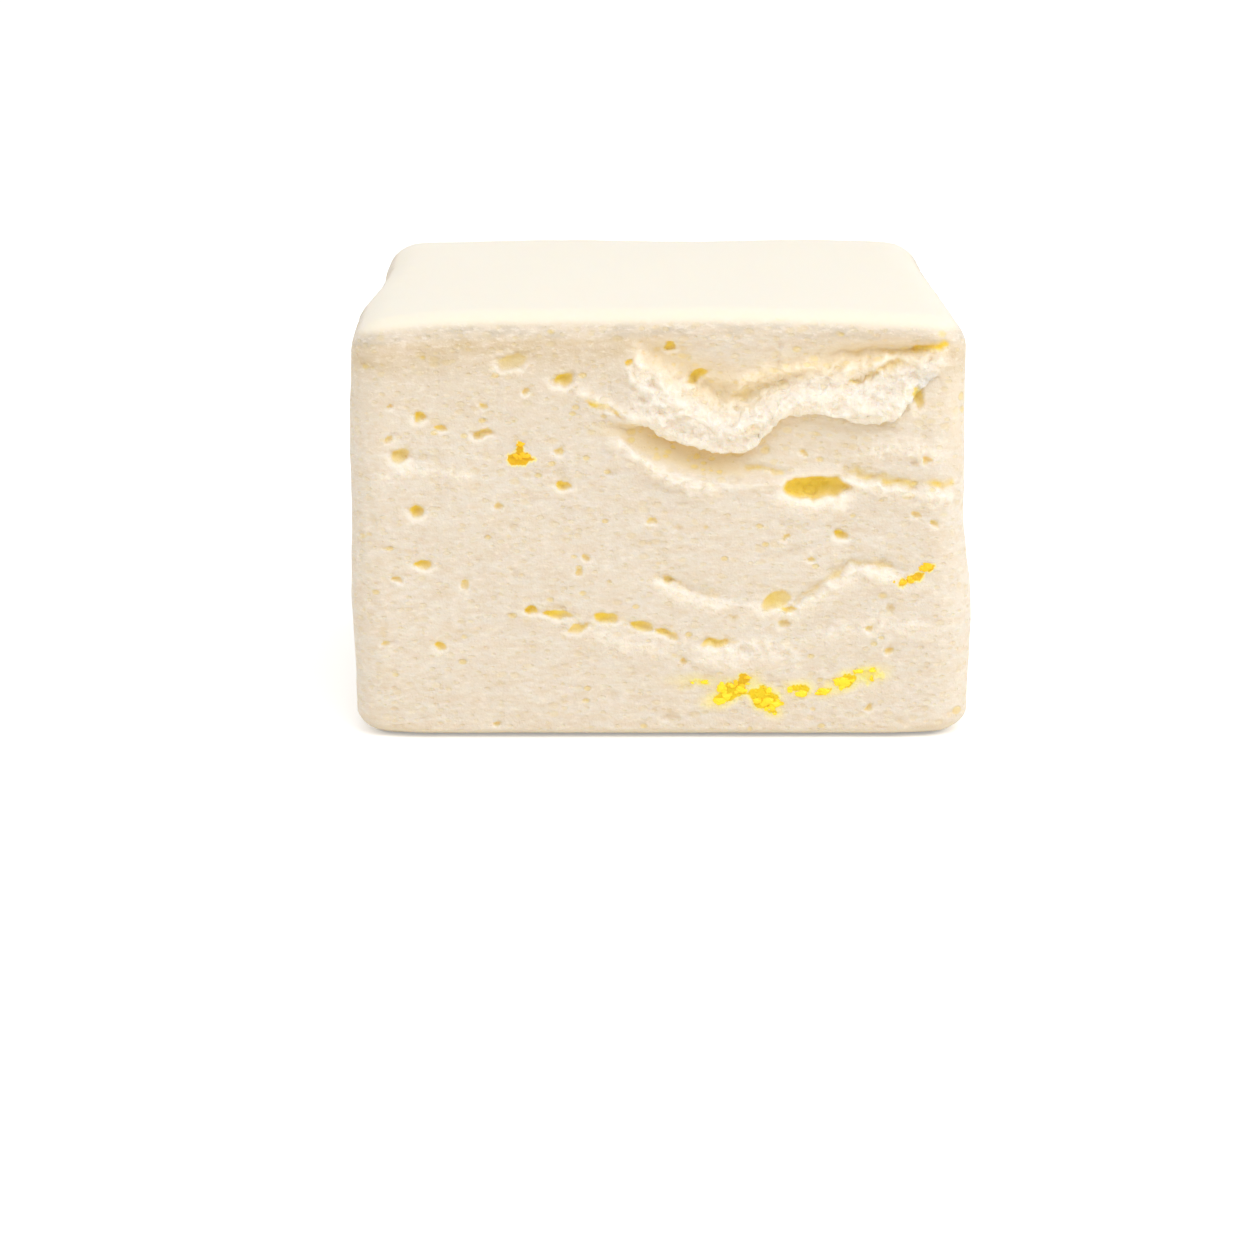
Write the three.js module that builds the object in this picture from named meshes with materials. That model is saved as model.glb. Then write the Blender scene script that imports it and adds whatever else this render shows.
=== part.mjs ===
// One hand-cut marshmallow: a block cut from a poured slab, standing on its smooth base.
// The top and the base are the slab's dusted skins, and the four sides are knife cuts
// through the foam. The front cut caught: it pulled a curtain of foam down below the top
// edge, left a hollow under it, and opened bubbles and crevices lower down.
// Sizes are in millimetres. X runs along the front, Y goes to the back, Z is up, and the
// origin is the middle of the base.
import * as THREE from "three";
import { mergeVertices } from "three/addons/utils/BufferGeometryUtils.js";

// ---- Driving dimensions -------------------------------------------------------------
const WIDTH = 38;
const DEPTH = 36;
const HEIGHT = 27;
const SIDE_ROUND = 2.9; // upright edges, and how far top and base edges run into a side
const TOP_ROUND = 2.8;
const BASE_ROUND = 2.0;

// How the soft block departs from a true box.
const LEFT_DROOP = 1.3; // fall of the top towards its left and right ends
const RIGHT_DROOP = 0.9;
const BACK_DROOP = 0.4;
const DROOP_SHARPNESS = 4; // higher keeps the fall nearer to the ends
const FOOT_SPREAD = 0.75; // the right side's step outwards, low down
const FOOT_SPREAD_Z = [10, 15]; // full below the first height, gone above the second
const SIDE_SWELL = 0.2;
const LUMP = 0.2; // height of the slow unevenness all over
const LUMP_LENGTH = 17;
const LUMP_RISE = 4; // the foot is flat, and the lumps grow to their full height above it

// Edge lengths of the mesh on plain skin, and on torn or pitted foam.
const PLAIN_STEP = 3.4;
const ROUND_STRIPS = 3; // strips of faces over each half of a rounded edge
const TORN_STEP = 0.55;
const PIT_STEP = 0.3;
const PIT_STEP_SHARE = 0.45; // of a bubble's half height, so that small ones stay round
const STEP_GROWTH = 0.95; // how fast the edges lengthen away from a tear or a pit
const STEP_SLACK = 1.5; // how many times its wanted length an edge may have

const RELIEF_FADE = 2.4; // how far relief fades out before it meets a box edge

const HALF_WIDTH = WIDTH / 2;
const HALF_DEPTH = DEPTH / 2;

// ---- Small helpers --------------------------------------------------------------------
const { clamp, lerp, smoothstep } = THREE.MathUtils;

// A smooth height z over x through a few points, level beyond both ends.
function heightLine(points) {
  const xs = points.map(([x]) => x);
  const line = new THREE.CubicInterpolant(xs, points.map(([, z]) => z), 1);
  return (x) => line.evaluate(clamp(x, xs[0], xs[xs.length - 1]))[0];
}

// A seeded draw of numbers from 0 to 1.
function seededDraw(seed) {
  let state = seed;
  return () => {
    state = (state * 1664525 + 1013904223) % 4294967296;
    return state / 4294967296;
  };
}

// Slow waves over the whole block, from -1 to 1.
function lump(p) {
  const k = (2 * Math.PI) / LUMP_LENGTH;
  const a = Math.sin(k * (p.x + 0.6 * p.z) + 0.8) * Math.cos(k * (0.8 * p.y - p.z) + 2.1);
  const b = Math.sin(k * 0.6 * (p.y - 0.7 * p.x) + 4.0) * Math.cos(k * 0.9 * p.z + 0.5);
  return 0.6 * a + 0.4 * b;
}

// Share of a form that is there at x, fading over a length at both of its ends.
function between(x, left, right, fade) {
  return smoothstep(x, left - fade, left + fade) * (1 - smoothstep(x, right - fade, right + fade));
}

// ---- The torn front ---------------------------------------------------------------------
// Lines across the front, each a height over x.
const UPPER_CREASE = heightLine([
  [-2.4, 24.6], [-0.2, 24.4], [1.5, 23.5], [3.0, 22.3], [4.9, 21.8],
  [6.8, 22.6], [8.9, 23.3], [12.0, 24.1], [17.6, 24.9],
]);
const CURTAIN_LIP = heightLine([
  [-2.4, 19.9], [0.3, 19.4], [2.6, 18.8], [4.7, 18.6], [6.3, 19.4], [7.4, 20.5],
  [8.6, 20.8], [10.6, 20.6], [12.7, 20.3], [14.5, 20.8], [15.8, 22.2], [17.4, 24.0],
]);
const SHELF = heightLine([
  [-2.4, 19.2], [-1.2, 18.1], [0.4, 17.2], [2.6, 16.5], [6.0, 16.3], [12.0, 16.5], [18.6, 16.2],
]);
const TONGUE = heightLine([
  [-2.6, 23.4], [-0.6, 23.2], [0.9, 22.4], [2.3, 21.4], [3.7, 20.4], [5.2, 20.0], [7.2, 20.6],
]);
const LOWER_STEP = heightLine([
  [-0.6, 10.6], [1.4, 9.6], [3.6, 8.9], [6.4, 8.6], [8.6, 8.7], [10.2, 9.5], [12.6, 10.6],
  [14.2, 10.9], [16.6, 10.0],
]);

const HOLLOW_DEPTH = heightLine([
  [-3.4, 0], [-1.0, 0.9], [1.5, 1.7], [4.7, 2.0], [8.5, 1.5], [13.0, 0.9], [19.0, 0.5],
]);

const CURTAIN = { left: -2.2, right: 17.6, crestEnd: 15.4, crest: 0.5, recess: 1.2, fullHeight: 2.4 };
const TONGUE_FORM = { left: -3.4, right: 7.6, crest: 0.55, width: 1.15 };
const SHELF_FORM = { crest: 0.3, fall: 1.1 };
const LIP_TUCK = { height: 0.35, fall: 0.5 }; // how far the hollow's roof runs up behind the lip
const LOWER_STEP_FORM = { left: 0.2, right: 16.4, step: 0.28, rise: 1.1, fall: 1.5 };
const ON_LINE = 0.01; // how close to a line's height counts as on it

// The mesh's rows up the block, counted from the base. On the front, four of them follow
// the tears, so that each lip and crease is a clean edge.
const ROWS = 8;
const FOLLOWED = [
  [0, () => 0], [1, () => BASE_ROUND], [3, LOWER_STEP], [5, SHELF], [6, CURTAIN_LIP],
  [7, UPPER_CREASE], [ROWS, () => HEIGHT],
];
const ROWS_BEND = [-15.6, -12.4]; // level left of the first x, and along the tears from the second

// The height of a row, counted with fractions, where no tear bends it.
function plainHeight(row) {
  const inner = (HEIGHT - BASE_ROUND - TOP_ROUND) / (ROWS - 2);
  if (row <= 1) return row * BASE_ROUND;
  if (row >= ROWS - 1) return HEIGHT - (ROWS - row) * TOP_ROUND;
  return BASE_ROUND + (row - 1) * inner;
}

// The same on the torn front, at x.
function tornHeight(row, x) {
  const above = FOLLOWED.findIndex(([followed]) => followed >= row && followed > 0);
  const [low, lowLine] = FOLLOWED[above - 1];
  const [high, highLine] = FOLLOWED[above];
  const torn = lerp(lowLine(x), highLine(x), (row - low) / (high - low));
  return lerp(plainHeight(row), torn, smoothstep(x, ...ROWS_BEND));
}

// The curtain, the recess above it and the hollow under it, along the way out of the front.
function curtainRelief(x, z) {
  const upper = UPPER_CREASE(x);
  const lip = CURTAIN_LIP(x);
  const shelf = SHELF(x);
  const there = between(x, CURTAIN.left, CURTAIN.right, 1.2);
  const recess = CURTAIN.recess * there * clamp((upper - lip) / CURTAIN.fullHeight, 0, 1);
  if (z >= upper) return -recess * smoothstep(HEIGHT - z, 0.6, HEIGHT - upper);
  if (z >= lip - ON_LINE) {
    const crest = CURTAIN.crest * between(x, CURTAIN.left, CURTAIN.crestEnd, 1.2);
    return lerp(-recess, crest, smoothstep((upper - z) / (upper - lip), 0, 0.8));
  }
  if (z > shelf + ON_LINE) return -HOLLOW_DEPTH(x) * Math.sqrt((z - shelf) / (lip - shelf));
  return SHELF_FORM.crest * there * Math.exp((z - shelf) / SHELF_FORM.fall);
}

// The thick tongue that runs down through the curtain's left part.
function tongueRelief(x, z) {
  const there = between(x, TONGUE_FORM.left, TONGUE_FORM.right, 0.8);
  const away = (z - TONGUE(x)) / TONGUE_FORM.width;
  return z < CURTAIN_LIP(x) - ON_LINE ? 0 : TONGUE_FORM.crest * there * Math.exp(-away * away);
}

// The lower tear, where the foam under a slanting line stands proud of the foam above it.
function lowerStepRelief(x, z) {
  const { left, right, step, rise, fall } = LOWER_STEP_FORM;
  const above = z - LOWER_STEP(x);
  const there = step * between(x, left, right, 1.4);
  return above > ON_LINE ? -there * Math.exp(-above / rise) : there * Math.exp(above / fall);
}

// How far the hollow's roof runs up behind the lip.
function lipTuck(x, z) {
  const below = CURTAIN_LIP(x) - z;
  if (below < ON_LINE || z < SHELF(x)) return 0;
  const there = between(x, CURTAIN.left + 1, CURTAIN.right - 1, 1);
  return LIP_TUCK.height * there * Math.exp(-below / LIP_TUCK.fall);
}

// ---- Bubbles -------------------------------------------------------------------------
// A cut bubble: its middle along and up its side, half width, half height, depth and slant.
const bubble = (along, up, halfWidth, halfHeight, depth, slant = 0) =>
  ({ along, up, halfWidth, halfHeight, depth, slant });

const SLOT = bubble(9.8, 16.15, 2.1, 0.72, 1.7, 0.03);
const STEP_POCKET = bubble(7.5, 8.4, 0.95, 0.8, 1.0, -0.4);
const NOTCH = bubble(2.5, 22.9, 0.65, 0.55, 1.0, 0.5);
const CURTAIN_CORNER = bubble(16.0, 21.9, 0.5, 0.95, 0.7, 0.2);
const LEMON_POCKETS = [
  bubble(-8.4, 18.1, 0.8, 0.7, 0.8),
  bubble(15.6, 10.5, 0.95, 0.5, 0.7, 0.35),
  bubble(4.4, 3.2, 1.5, 0.62, 0.6, 0.45),
  bubble(6.9, 2.6, 1.0, 0.6, 0.5, -0.3),
];
const FRONT_BUBBLES = [
  bubble(-5.8, 22.9, 0.85, 0.6, 0.8, 0.1),
  bubble(-8.9, 24.0, 1.2, 0.7, 0.5, 0.2),
  bubble(-14.6, 20.6, 0.65, 0.5, 0.5),
  bubble(-15.7, 18.2, 0.7, 0.5, 0.5, 0.2),
  bubble(-14.8, 14.7, 0.7, 0.6, 0.7, -0.2),
  bubble(-5.8, 16.2, 0.7, 0.5, 0.5, -0.1),
  bubble(-14.6, 11.2, 0.75, 0.5, 0.5, -0.1),
  bubble(11.3, 13.1, 0.75, 0.5, 0.6, -0.1),
  bubble(-13.6, 6.0, 0.6, 0.5, 0.5, -0.2),
];

// A row of narrow cavities, left by one crease in the foam.
const CAVITY_ROW = heightLine([
  [-7.9, 8.35], [-6.1, 7.9], [-4.3, 7.4], [-2.6, 7.7], [-0.9, 7.3], [0.9, 6.6], [4.0, 6.2],
]);
const CAVITY_PLACES = [-7.9, -6.1, -4.9, -3.2, -0.9, 0.9, 4.0];
const CAVITY = { halfWidth: 0.85, halfHeight: 0.42, depth: 0.75 };
const CAVITIES = CAVITY_PLACES.map((along) => ({
  ...CAVITY, along, up: CAVITY_ROW(along), slant: CAVITY_ROW(along + 0.5) - CAVITY_ROW(along - 0.5),
}));

// Bubbles opened at random by the cuts through the other three sides.
// Most of them are near the least size, and their depth is a share of their half width.
const SCATTER = {
  count: 9, least: 0.6, most: 1.7, fineness: 2.2, flatness: 0.6, depth: 0.75, slant: 0.3,
  margin: 4, seed: 41,
};

function scatteredBubbles(halfLength, seed) {
  const draw = seededDraw(seed);
  const room = halfLength - SCATTER.margin;
  return Array.from({ length: SCATTER.count }, () => {
    const halfWidth = lerp(SCATTER.least, SCATTER.most, draw() ** SCATTER.fineness);
    const along = lerp(-room, room, draw());
    const up = lerp(SCATTER.margin, HEIGHT - SCATTER.margin, draw());
    const halfHeight = halfWidth * lerp(SCATTER.flatness, 1, draw());
    const slant = lerp(-SCATTER.slant, SCATTER.slant, draw());
    return bubble(along, up, halfWidth, halfHeight, halfWidth * SCATTER.depth, slant);
  });
}

// How far a place is from a bubble's middle: 0 there, 1 on its rim.
function bubbleReach(b, along, up) {
  const a = along - b.along;
  return Math.hypot(a / b.halfWidth, (up - b.up - b.slant * a) / b.halfHeight);
}

function bubbleRelief(b, along, up) {
  return -b.depth * smoothstep(1 - bubbleReach(b, along, up), 0, 0.85);
}

// ---- The four cut sides ------------------------------------------------------------------
class CutSide {
  constructor(out, bubbles, torn = false) {
    this.out = out;
    this.acrossFront = out.y !== 0;
    this.reach = this.acrossFront ? HALF_DEPTH : HALF_WIDTH;
    this.half = this.acrossFront ? HALF_WIDTH : HALF_DEPTH;
    this.bubbles = bubbles;
    this.torn = torn;
  }

  holds(p) {
    return Math.abs(p.dot(this.out) - this.reach) < 1e-4;
  }

  // x on the front and the back, y on the left and the right.
  along(p) {
    return this.acrossFront ? p.x : p.y;
  }

  // How far the side stands out at a place on it.
  relief(along, z) {
    const tears = this.torn
      ? curtainRelief(along, z) + tongueRelief(along, z) + lowerStepRelief(along, z)
      : 0;
    const pit = Math.min(0, ...this.bubbles.map((b) => bubbleRelief(b, along, z)));
    const edge = smoothstep(this.half - Math.abs(along), 0, RELIEF_FADE);
    const ends = smoothstep(z, 0, RELIEF_FADE) * smoothstep(HEIGHT - z, 0, RELIEF_FADE);
    return (tears + pit) * edge * ends;
  }

  // The mesh's edge length wanted at a place on it.
  step(along, z) {
    const pits = this.bubbles.map((b) => {
      const fine = Math.max(PIT_STEP, b.halfHeight * PIT_STEP_SHARE);
      return fine + STEP_GROWTH * Math.max(0, bubbleReach(b, along, z) - 1.1) * b.halfHeight;
    });
    const tear = this.torn ? TORN_STEP + STEP_GROWTH * tearDistance(along, z) : PLAIN_STEP;
    return Math.min(tear, ...pits);
  }
}

// How far a place on the front is from the curtain and the lower tear.
function tearDistance(x, z) {
  const aside = Math.max(0, CURTAIN.left - 0.8 - x, x - CURTAIN.right - 0.6);
  const curtain = Math.max(0, SHELF(x) - 0.3 - z, z - 25.6);
  const beside = Math.max(0, LOWER_STEP_FORM.left - x, x - LOWER_STEP_FORM.right);
  const step = Math.max(0, Math.abs(z - LOWER_STEP(x)) - 0.4);
  return Math.min(Math.hypot(aside, curtain), Math.hypot(beside, step));
}

const FRONT = new CutSide(
  new THREE.Vector3(0, -1, 0),
  [SLOT, STEP_POCKET, NOTCH, CURTAIN_CORNER, ...LEMON_POCKETS, ...FRONT_BUBBLES, ...CAVITIES],
  true,
);
const SIDES = [
  FRONT,
  new CutSide(new THREE.Vector3(0, 1, 0), scatteredBubbles(HALF_WIDTH, SCATTER.seed)),
  new CutSide(new THREE.Vector3(-1, 0, 0), scatteredBubbles(HALF_DEPTH, SCATTER.seed + 1)),
  new CutSide(new THREE.Vector3(1, 0, 0), scatteredBubbles(HALF_DEPTH, SCATTER.seed + 2)),
];

// ---- The block -------------------------------------------------------------------------
// Takes a point on the sharp box to the same place on the rounded one, with its way out.
function roundedPoint(p) {
  const core = new THREE.Vector3(
    clamp(p.x, SIDE_ROUND - HALF_WIDTH, HALF_WIDTH - SIDE_ROUND),
    clamp(p.y, SIDE_ROUND - HALF_DEPTH, HALF_DEPTH - SIDE_ROUND),
    clamp(p.z, BASE_ROUND, HEIGHT - TOP_ROUND),
  );
  const heightRound = p.z > HEIGHT / 2 ? TOP_ROUND : BASE_ROUND;
  const rounds = new THREE.Vector3(SIDE_ROUND, SIDE_ROUND, heightRound);
  const way = p.clone().sub(core).divide(rounds).normalize();
  const place = way.clone().multiply(rounds).add(core);
  return { place, out: way.divide(rounds).normalize() };
}

// The soft set of the block: a drooping top, swelling sides and a foot that spreads.
function settle(p) {
  const across = clamp(p.x / HALF_WIDTH, -1, 1);
  const back = clamp(p.y / HALF_DEPTH, -1, 1);
  const rise = clamp(p.z / HEIGHT, 0, 1);
  const droop = (across < 0 ? LEFT_DROOP : RIGHT_DROOP) * Math.abs(across) ** DROOP_SHARPNESS;
  const backDroop = BACK_DROOP * Math.max(back, 0) ** DROOP_SHARPNESS;
  const spread = FOOT_SPREAD * (1 - smoothstep(p.z, ...FOOT_SPREAD_Z));
  const swell = SIDE_SWELL * Math.sin(Math.PI * rise);
  const uneven = LUMP * lump(p) * smoothstep(p.z, 0, LUMP_RISE);
  return new THREE.Vector3(
    p.x + across * (swell + uneven) + Math.max(across, 0) ** 3 * spread,
    p.y + back * (swell + uneven),
    p.z - (droop + backDroop) * rise ** 3 + uneven * 0.5 * rise,
  );
}

// Takes a point of the meshed box, whose height is a row, to its place on the marshmallow.
function foamPoint(p) {
  const height = FRONT.holds(p) ? tornHeight(p.z, p.x) : plainHeight(p.z);
  const { place, out } = roundedPoint(new THREE.Vector3(p.x, p.y, height));
  const relief = SIDES.filter((side) => side.holds(p))
    .reduce((sum, side) => sum + side.relief(side.along(p), height), 0);
  if (FRONT.holds(p)) place.z += lipTuck(p.x, height);
  return settle(place).addScaledVector(out, relief);
}

// ---- Meshing --------------------------------------------------------------------------
// The edge length wanted around a point of the meshed box.
function wantedStep(p) {
  const height = FRONT.holds(p) ? tornHeight(p.z, p.x) : plainHeight(p.z);
  const cuts = SIDES.filter((side) => side.holds(p)).map((side) => side.step(side.along(p), height));
  return Math.min(PLAIN_STEP, ...cuts);
}

// The length of an edge of the meshed box, with its rows taken at their plain height.
function edgeLength(a, b) {
  return Math.hypot(a.x - b.x, a.y - b.y, plainHeight(a.z) - plainHeight(b.z));
}

function isTooLong(a, b) {
  return edgeLength(a, b) > STEP_SLACK * wantedStep(a.clone().lerp(b, 0.5));
}

// Turns a triangle so that its first side is its longest.
function longestFirst(points, [a, b, c]) {
  const ab = edgeLength(points[a], points[b]);
  const bc = edgeLength(points[b], points[c]);
  const ca = edgeLength(points[c], points[a]);
  if (bc > ab && bc >= ca) return [b, c, a];
  return ca > ab ? [c, a, b] : [a, b, c];
}

// The middles of the edges of a mesh that are to be halved, made when they are asked for.
class HalvedEdges {
  constructor(points) {
    this.points = points;
    this.middles = new Map();
  }

  key(i, j) {
    return `${Math.min(i, j)} ${Math.max(i, j)}`;
  }

  at(i, j) {
    return this.middles.get(this.key(i, j));
  }

  halve(i, j) {
    if (this.at(i, j)) return;
    const middle = this.points[i].clone().lerp(this.points[j], 0.5);
    this.middles.set(this.key(i, j), this.points.push(middle) - 1);
  }
}

// Splits a triangle at the middle of its first side, and each half at its outer side.
function splitTriangle([a, b, c], edges) {
  const ab = edges.at(a, b);
  const bc = edges.at(b, c);
  const ca = edges.at(c, a);
  if (!ab) return [[a, b, c]];
  const left = ca ? [[a, ab, ca], [ca, ab, c]] : [[a, ab, c]];
  const right = bc ? [[ab, b, bc], [ab, bc, c]] : [[ab, b, c]];
  return [...left, ...right];
}

// Halves every edge that is too long, round by round, until none is. A triangle is always
// halved at its longest side first, so that no sliver is left.
function refine(points, triangles) {
  for (;;) {
    const faces = triangles.map((face) => longestFirst(points, face));
    const edges = new HalvedEdges(points);
    for (const [a, b, c] of faces) {
      for (const [i, j] of [[a, b], [b, c], [c, a]]) if (isTooLong(points[i], points[j])) edges.halve(i, j);
    }
    if (!edges.middles.size) return faces;
    let halved;
    do {
      halved = edges.middles.size;
      faces.filter(([a, b, c]) => edges.at(b, c) || edges.at(c, a)).forEach(([a, b]) => edges.halve(a, b));
    } while (edges.middles.size > halved);
    triangles = faces.flatMap((face) => splitTriangle(face, edges));
  }
}

// Grid lines over a length: narrow strips in its rounded ends, and even ones between them.
function gridLines(low, high, round) {
  const count = Math.round((high - low - 2 * round) / PLAIN_STEP);
  const strips = Array.from({ length: ROUND_STRIPS }, (_, i) => (round * i) / ROUND_STRIPS);
  const inner = Array.from({ length: count + 1 }, (_, i) => lerp(low + round, high - round, i / count));
  return [...strips.map((d) => low + d), ...inner, ...strips.map((d) => high - d).reverse()];
}

// The same for the rows, of which the first and the last are the rounded ends.
function rowLines() {
  const strips = Array.from({ length: ROUND_STRIPS }, (_, i) => i / ROUND_STRIPS);
  const inner = Array.from({ length: ROWS - 1 }, (_, i) => i + 1);
  return [...strips, ...inner, ...strips.map((d) => ROWS - d).reverse()];
}

// The coarse box that the mesh starts from: sharp, with each point's height as a row.
function meshedBox() {
  const lines = [
    gridLines(-HALF_WIDTH, HALF_WIDTH, SIDE_ROUND), gridLines(-HALF_DEPTH, HALF_DEPTH, SIDE_ROUND),
    rowLines(),
  ];
  const counts = lines.map((line) => line.length - 1);
  const box = new THREE.BoxGeometry(...counts, ...counts);
  box.deleteAttribute("normal");
  box.deleteAttribute("uv");
  const merged = mergeVertices(box);
  const place = merged.getAttribute("position");
  const points = Array.from({ length: place.count }, (_, i) => new THREE.Vector3(
    ...lines.map((line, axis) => line[Math.round(place.getComponent(i, axis) + counts[axis] / 2)]),
  ));
  const corners = Array.from(merged.index.array);
  const triangles = Array.from({ length: corners.length / 3 }, (_, i) => corners.slice(3 * i, 3 * i + 3));
  return { points, triangles };
}

function foamGeometry() {
  const { points, triangles } = meshedBox();
  const faces = refine(points, triangles);
  const geometry = new THREE.BufferGeometry().setFromPoints(points.map(foamPoint));
  geometry.setIndex(faces.flat());
  geometry.computeVertexNormals();
  return geometry;
}

const foam = new THREE.MeshStandardMaterial({ color: 0xf6ead2, roughness: 0.75, metalness: 0 });
const marshmallow = new THREE.Mesh(foamGeometry(), foam);
marshmallow.name = "marshmallow";

const part = new THREE.Group();
part.add(marshmallow);

export default part;
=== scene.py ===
"""The looks of one hand-cut marshmallow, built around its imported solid.

The block was cut from a poured slab. Its top and base are the slab's dusted skins, and its four
sides are knife cuts through the foam. The front cut caught: it pulled a curtain of foam down
below the top edge, left a hollow under it, and opened bubbles and crevices lower down.

Shapes are worked out in millimetres, X along the front, Y to the back and Z up from the middle
of the base, and written to Blender in metres.
"""

import logging
import math
from dataclasses import dataclass, field
from enum import Enum
from typing import Callable, Iterator, Sequence

import bpy
import numpy as np
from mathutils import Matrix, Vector


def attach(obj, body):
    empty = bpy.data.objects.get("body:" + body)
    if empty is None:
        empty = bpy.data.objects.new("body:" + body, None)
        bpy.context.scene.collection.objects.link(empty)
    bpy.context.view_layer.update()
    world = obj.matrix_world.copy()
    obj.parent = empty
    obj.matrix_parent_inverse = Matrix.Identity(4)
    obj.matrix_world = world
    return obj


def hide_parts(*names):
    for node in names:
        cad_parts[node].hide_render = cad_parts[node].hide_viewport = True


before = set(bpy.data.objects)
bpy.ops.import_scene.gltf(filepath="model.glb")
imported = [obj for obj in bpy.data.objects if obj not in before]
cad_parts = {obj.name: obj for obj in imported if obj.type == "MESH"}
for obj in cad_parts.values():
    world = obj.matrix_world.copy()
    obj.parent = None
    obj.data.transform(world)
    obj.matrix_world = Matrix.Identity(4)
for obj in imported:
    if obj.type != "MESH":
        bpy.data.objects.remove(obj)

LOG = logging.getLogger("marshmallow")
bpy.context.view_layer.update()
NODE = "marshmallow"
BODY = "root"

MM = 0.001  # one millimetre, in Blender's metres
ON_SIDE = 1e-6  # how close to a side of the meshed box counts as on it
Array = np.ndarray
Colour = tuple[float, float, float]
Socket = bpy.types.NodeSocket


# ---- Numbers over many points at once ---------------------------------------------------------
def smooth(value: Array, low: float, high: float) -> Array:
    """A smooth rise from 0 at low to 1 at high.

    Args:
        value: numbers to place between low and high.
        low: where the rise starts.
        high: where it ends.

    Returns:
        An array of shares from 0 to 1.
    """
    share = np.clip((value - low) / (high - low), 0.0, 1.0)
    return share * share * (3.0 - 2.0 * share)


def between(value: Array, left: float, right: float, fade: float) -> Array:
    """1 from left to right and 0 outside, with a fade on both sides of each end.

    Args:
        value: numbers to test.
        left: start of the stretch.
        right: end of the stretch.
        fade: half the length over which each end fades.

    Returns:
        An array of shares from 0 to 1.
    """
    return smooth(value, left - fade, left + fade) * (1 - smooth(value, right - fade, right + fade))


def mix(a: Array | float, b: Array | float, share: Array | float) -> Array | float:
    """The value that lies at a share of the way from a to b."""
    return a + (b - a) * share


def seeded_draw(seed: int) -> Iterator[float]:
    """An endless draw of numbers from 0 to 1.

    Args:
        seed: where the draw starts. The same seed gives the same numbers.

    Returns:
        The draw.
    """
    state = seed
    while True:
        state = (state * 1664525 + 1013904223) % 2**32
        yield state / 2**32


def cell_bits(cells: Array, salt: int) -> Array:
    """Well mixed 32-bit numbers for the cells of a whole-number grid.

    Args:
        cells: whole-number cell places, three to a row.
        salt: a number that sets one use of the grid apart from another.

    Returns:
        One unsigned 32-bit number for each row.
    """
    c = cells.astype(np.int64).astype(np.uint32)
    bits = c[:, 0] * np.uint32(0x8DA6B343) ^ c[:, 1] * np.uint32(0xD8163841)
    bits ^= c[:, 2] * np.uint32(0xCB1AB31F) ^ np.uint32(salt * 0x9E3779B1 & 0xFFFFFFFF)
    for shift in (15, 13, 16):
        bits ^= bits >> np.uint32(shift)
        bits *= np.uint32(0x85EBCA6B)
    return bits ^ (bits >> np.uint32(16))


def three_shares(bits: Array) -> Array:
    """Three numbers from 0 to 1 out of each 32-bit number."""
    parts = [bits >> np.uint32(10 * i) & np.uint32(1023) for i in range(3)]
    return np.stack(parts, axis=1) / 1023.0


@dataclass(frozen=True)
class HeightLine:
    """A smooth height over x through a few points, level beyond both ends."""

    points: tuple[tuple[float, float], ...]

    def at(self, x: Array) -> Array:
        """The line's height.

        Args:
            x: places along the front.

        Returns:
            The height at each place.
        """
        xs, zs = np.array(self.points).T
        rise = np.diff(zs) / np.diff(xs)
        slopes = np.empty_like(zs)
        slopes[1:-1] = (zs[2:] - zs[:-2]) / (xs[2:] - xs[:-2])
        slopes[0] = 1.5 * rise[0] - 0.5 * slopes[1]
        slopes[-1] = 1.5 * rise[-1] - 0.5 * slopes[-2]
        x = np.clip(x, xs[0], xs[-1])
        i = np.clip(np.searchsorted(xs, x) - 1, 0, len(rise) - 1)
        gap = xs[i + 1] - xs[i]
        t = (x - xs[i]) / gap
        start = (1 + 2 * t) * (1 - t) ** 2 * zs[i] + t * (1 - t) ** 2 * gap * slopes[i]
        return start + t * t * (3 - 2 * t) * zs[i + 1] + t * t * (t - 1) * gap * slopes[i + 1]


@dataclass(frozen=True)
class FoamNoise:
    """Smooth unevenness in space, about as strong as given, with finer waves on the coarse ones."""

    wavelength: float
    octaves: int = 1
    salt: int = 0
    flatness: float = 1.0  # height of a wave as a share of its width
    strength: float = 1.0

    def at(self, points: Array) -> Array:
        """The unevenness.

        Args:
            points: places in space.

        Returns:
            One number for each place.
        """
        place = points / (self.wavelength * np.array([1.0, 1.0, self.flatness]))
        total, share, reach = np.zeros(len(points)), 1.0, 0.0
        for octave in range(self.octaves):
            total += share * self._one(place * 2.0**octave, self.salt + 101 * octave)
            reach += share
            share *= 0.5
        return self.strength * (total / reach)

    @staticmethod
    def _one(place: Array, salt: int) -> Array:
        """Gradient noise with cells of length 1.

        Args:
            place: places in space, in cells.
            salt: what sets this noise apart from another.

        Returns:
            One number for each place.
        """
        cell = np.floor(place)
        inside = place - cell
        ease = inside**3 * (inside * (6 * inside - 15) + 10)
        total = np.zeros(len(place))
        for corner in np.ndindex(2, 2, 2):
            slope = three_shares(cell_bits(cell + corner, salt)) * 2 - 1
            weight = np.prod(np.where(corner, ease, 1 - ease), axis=1)
            total += weight * np.einsum("ij,ij->i", inside - corner, slope)
        return total * 1.5


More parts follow.
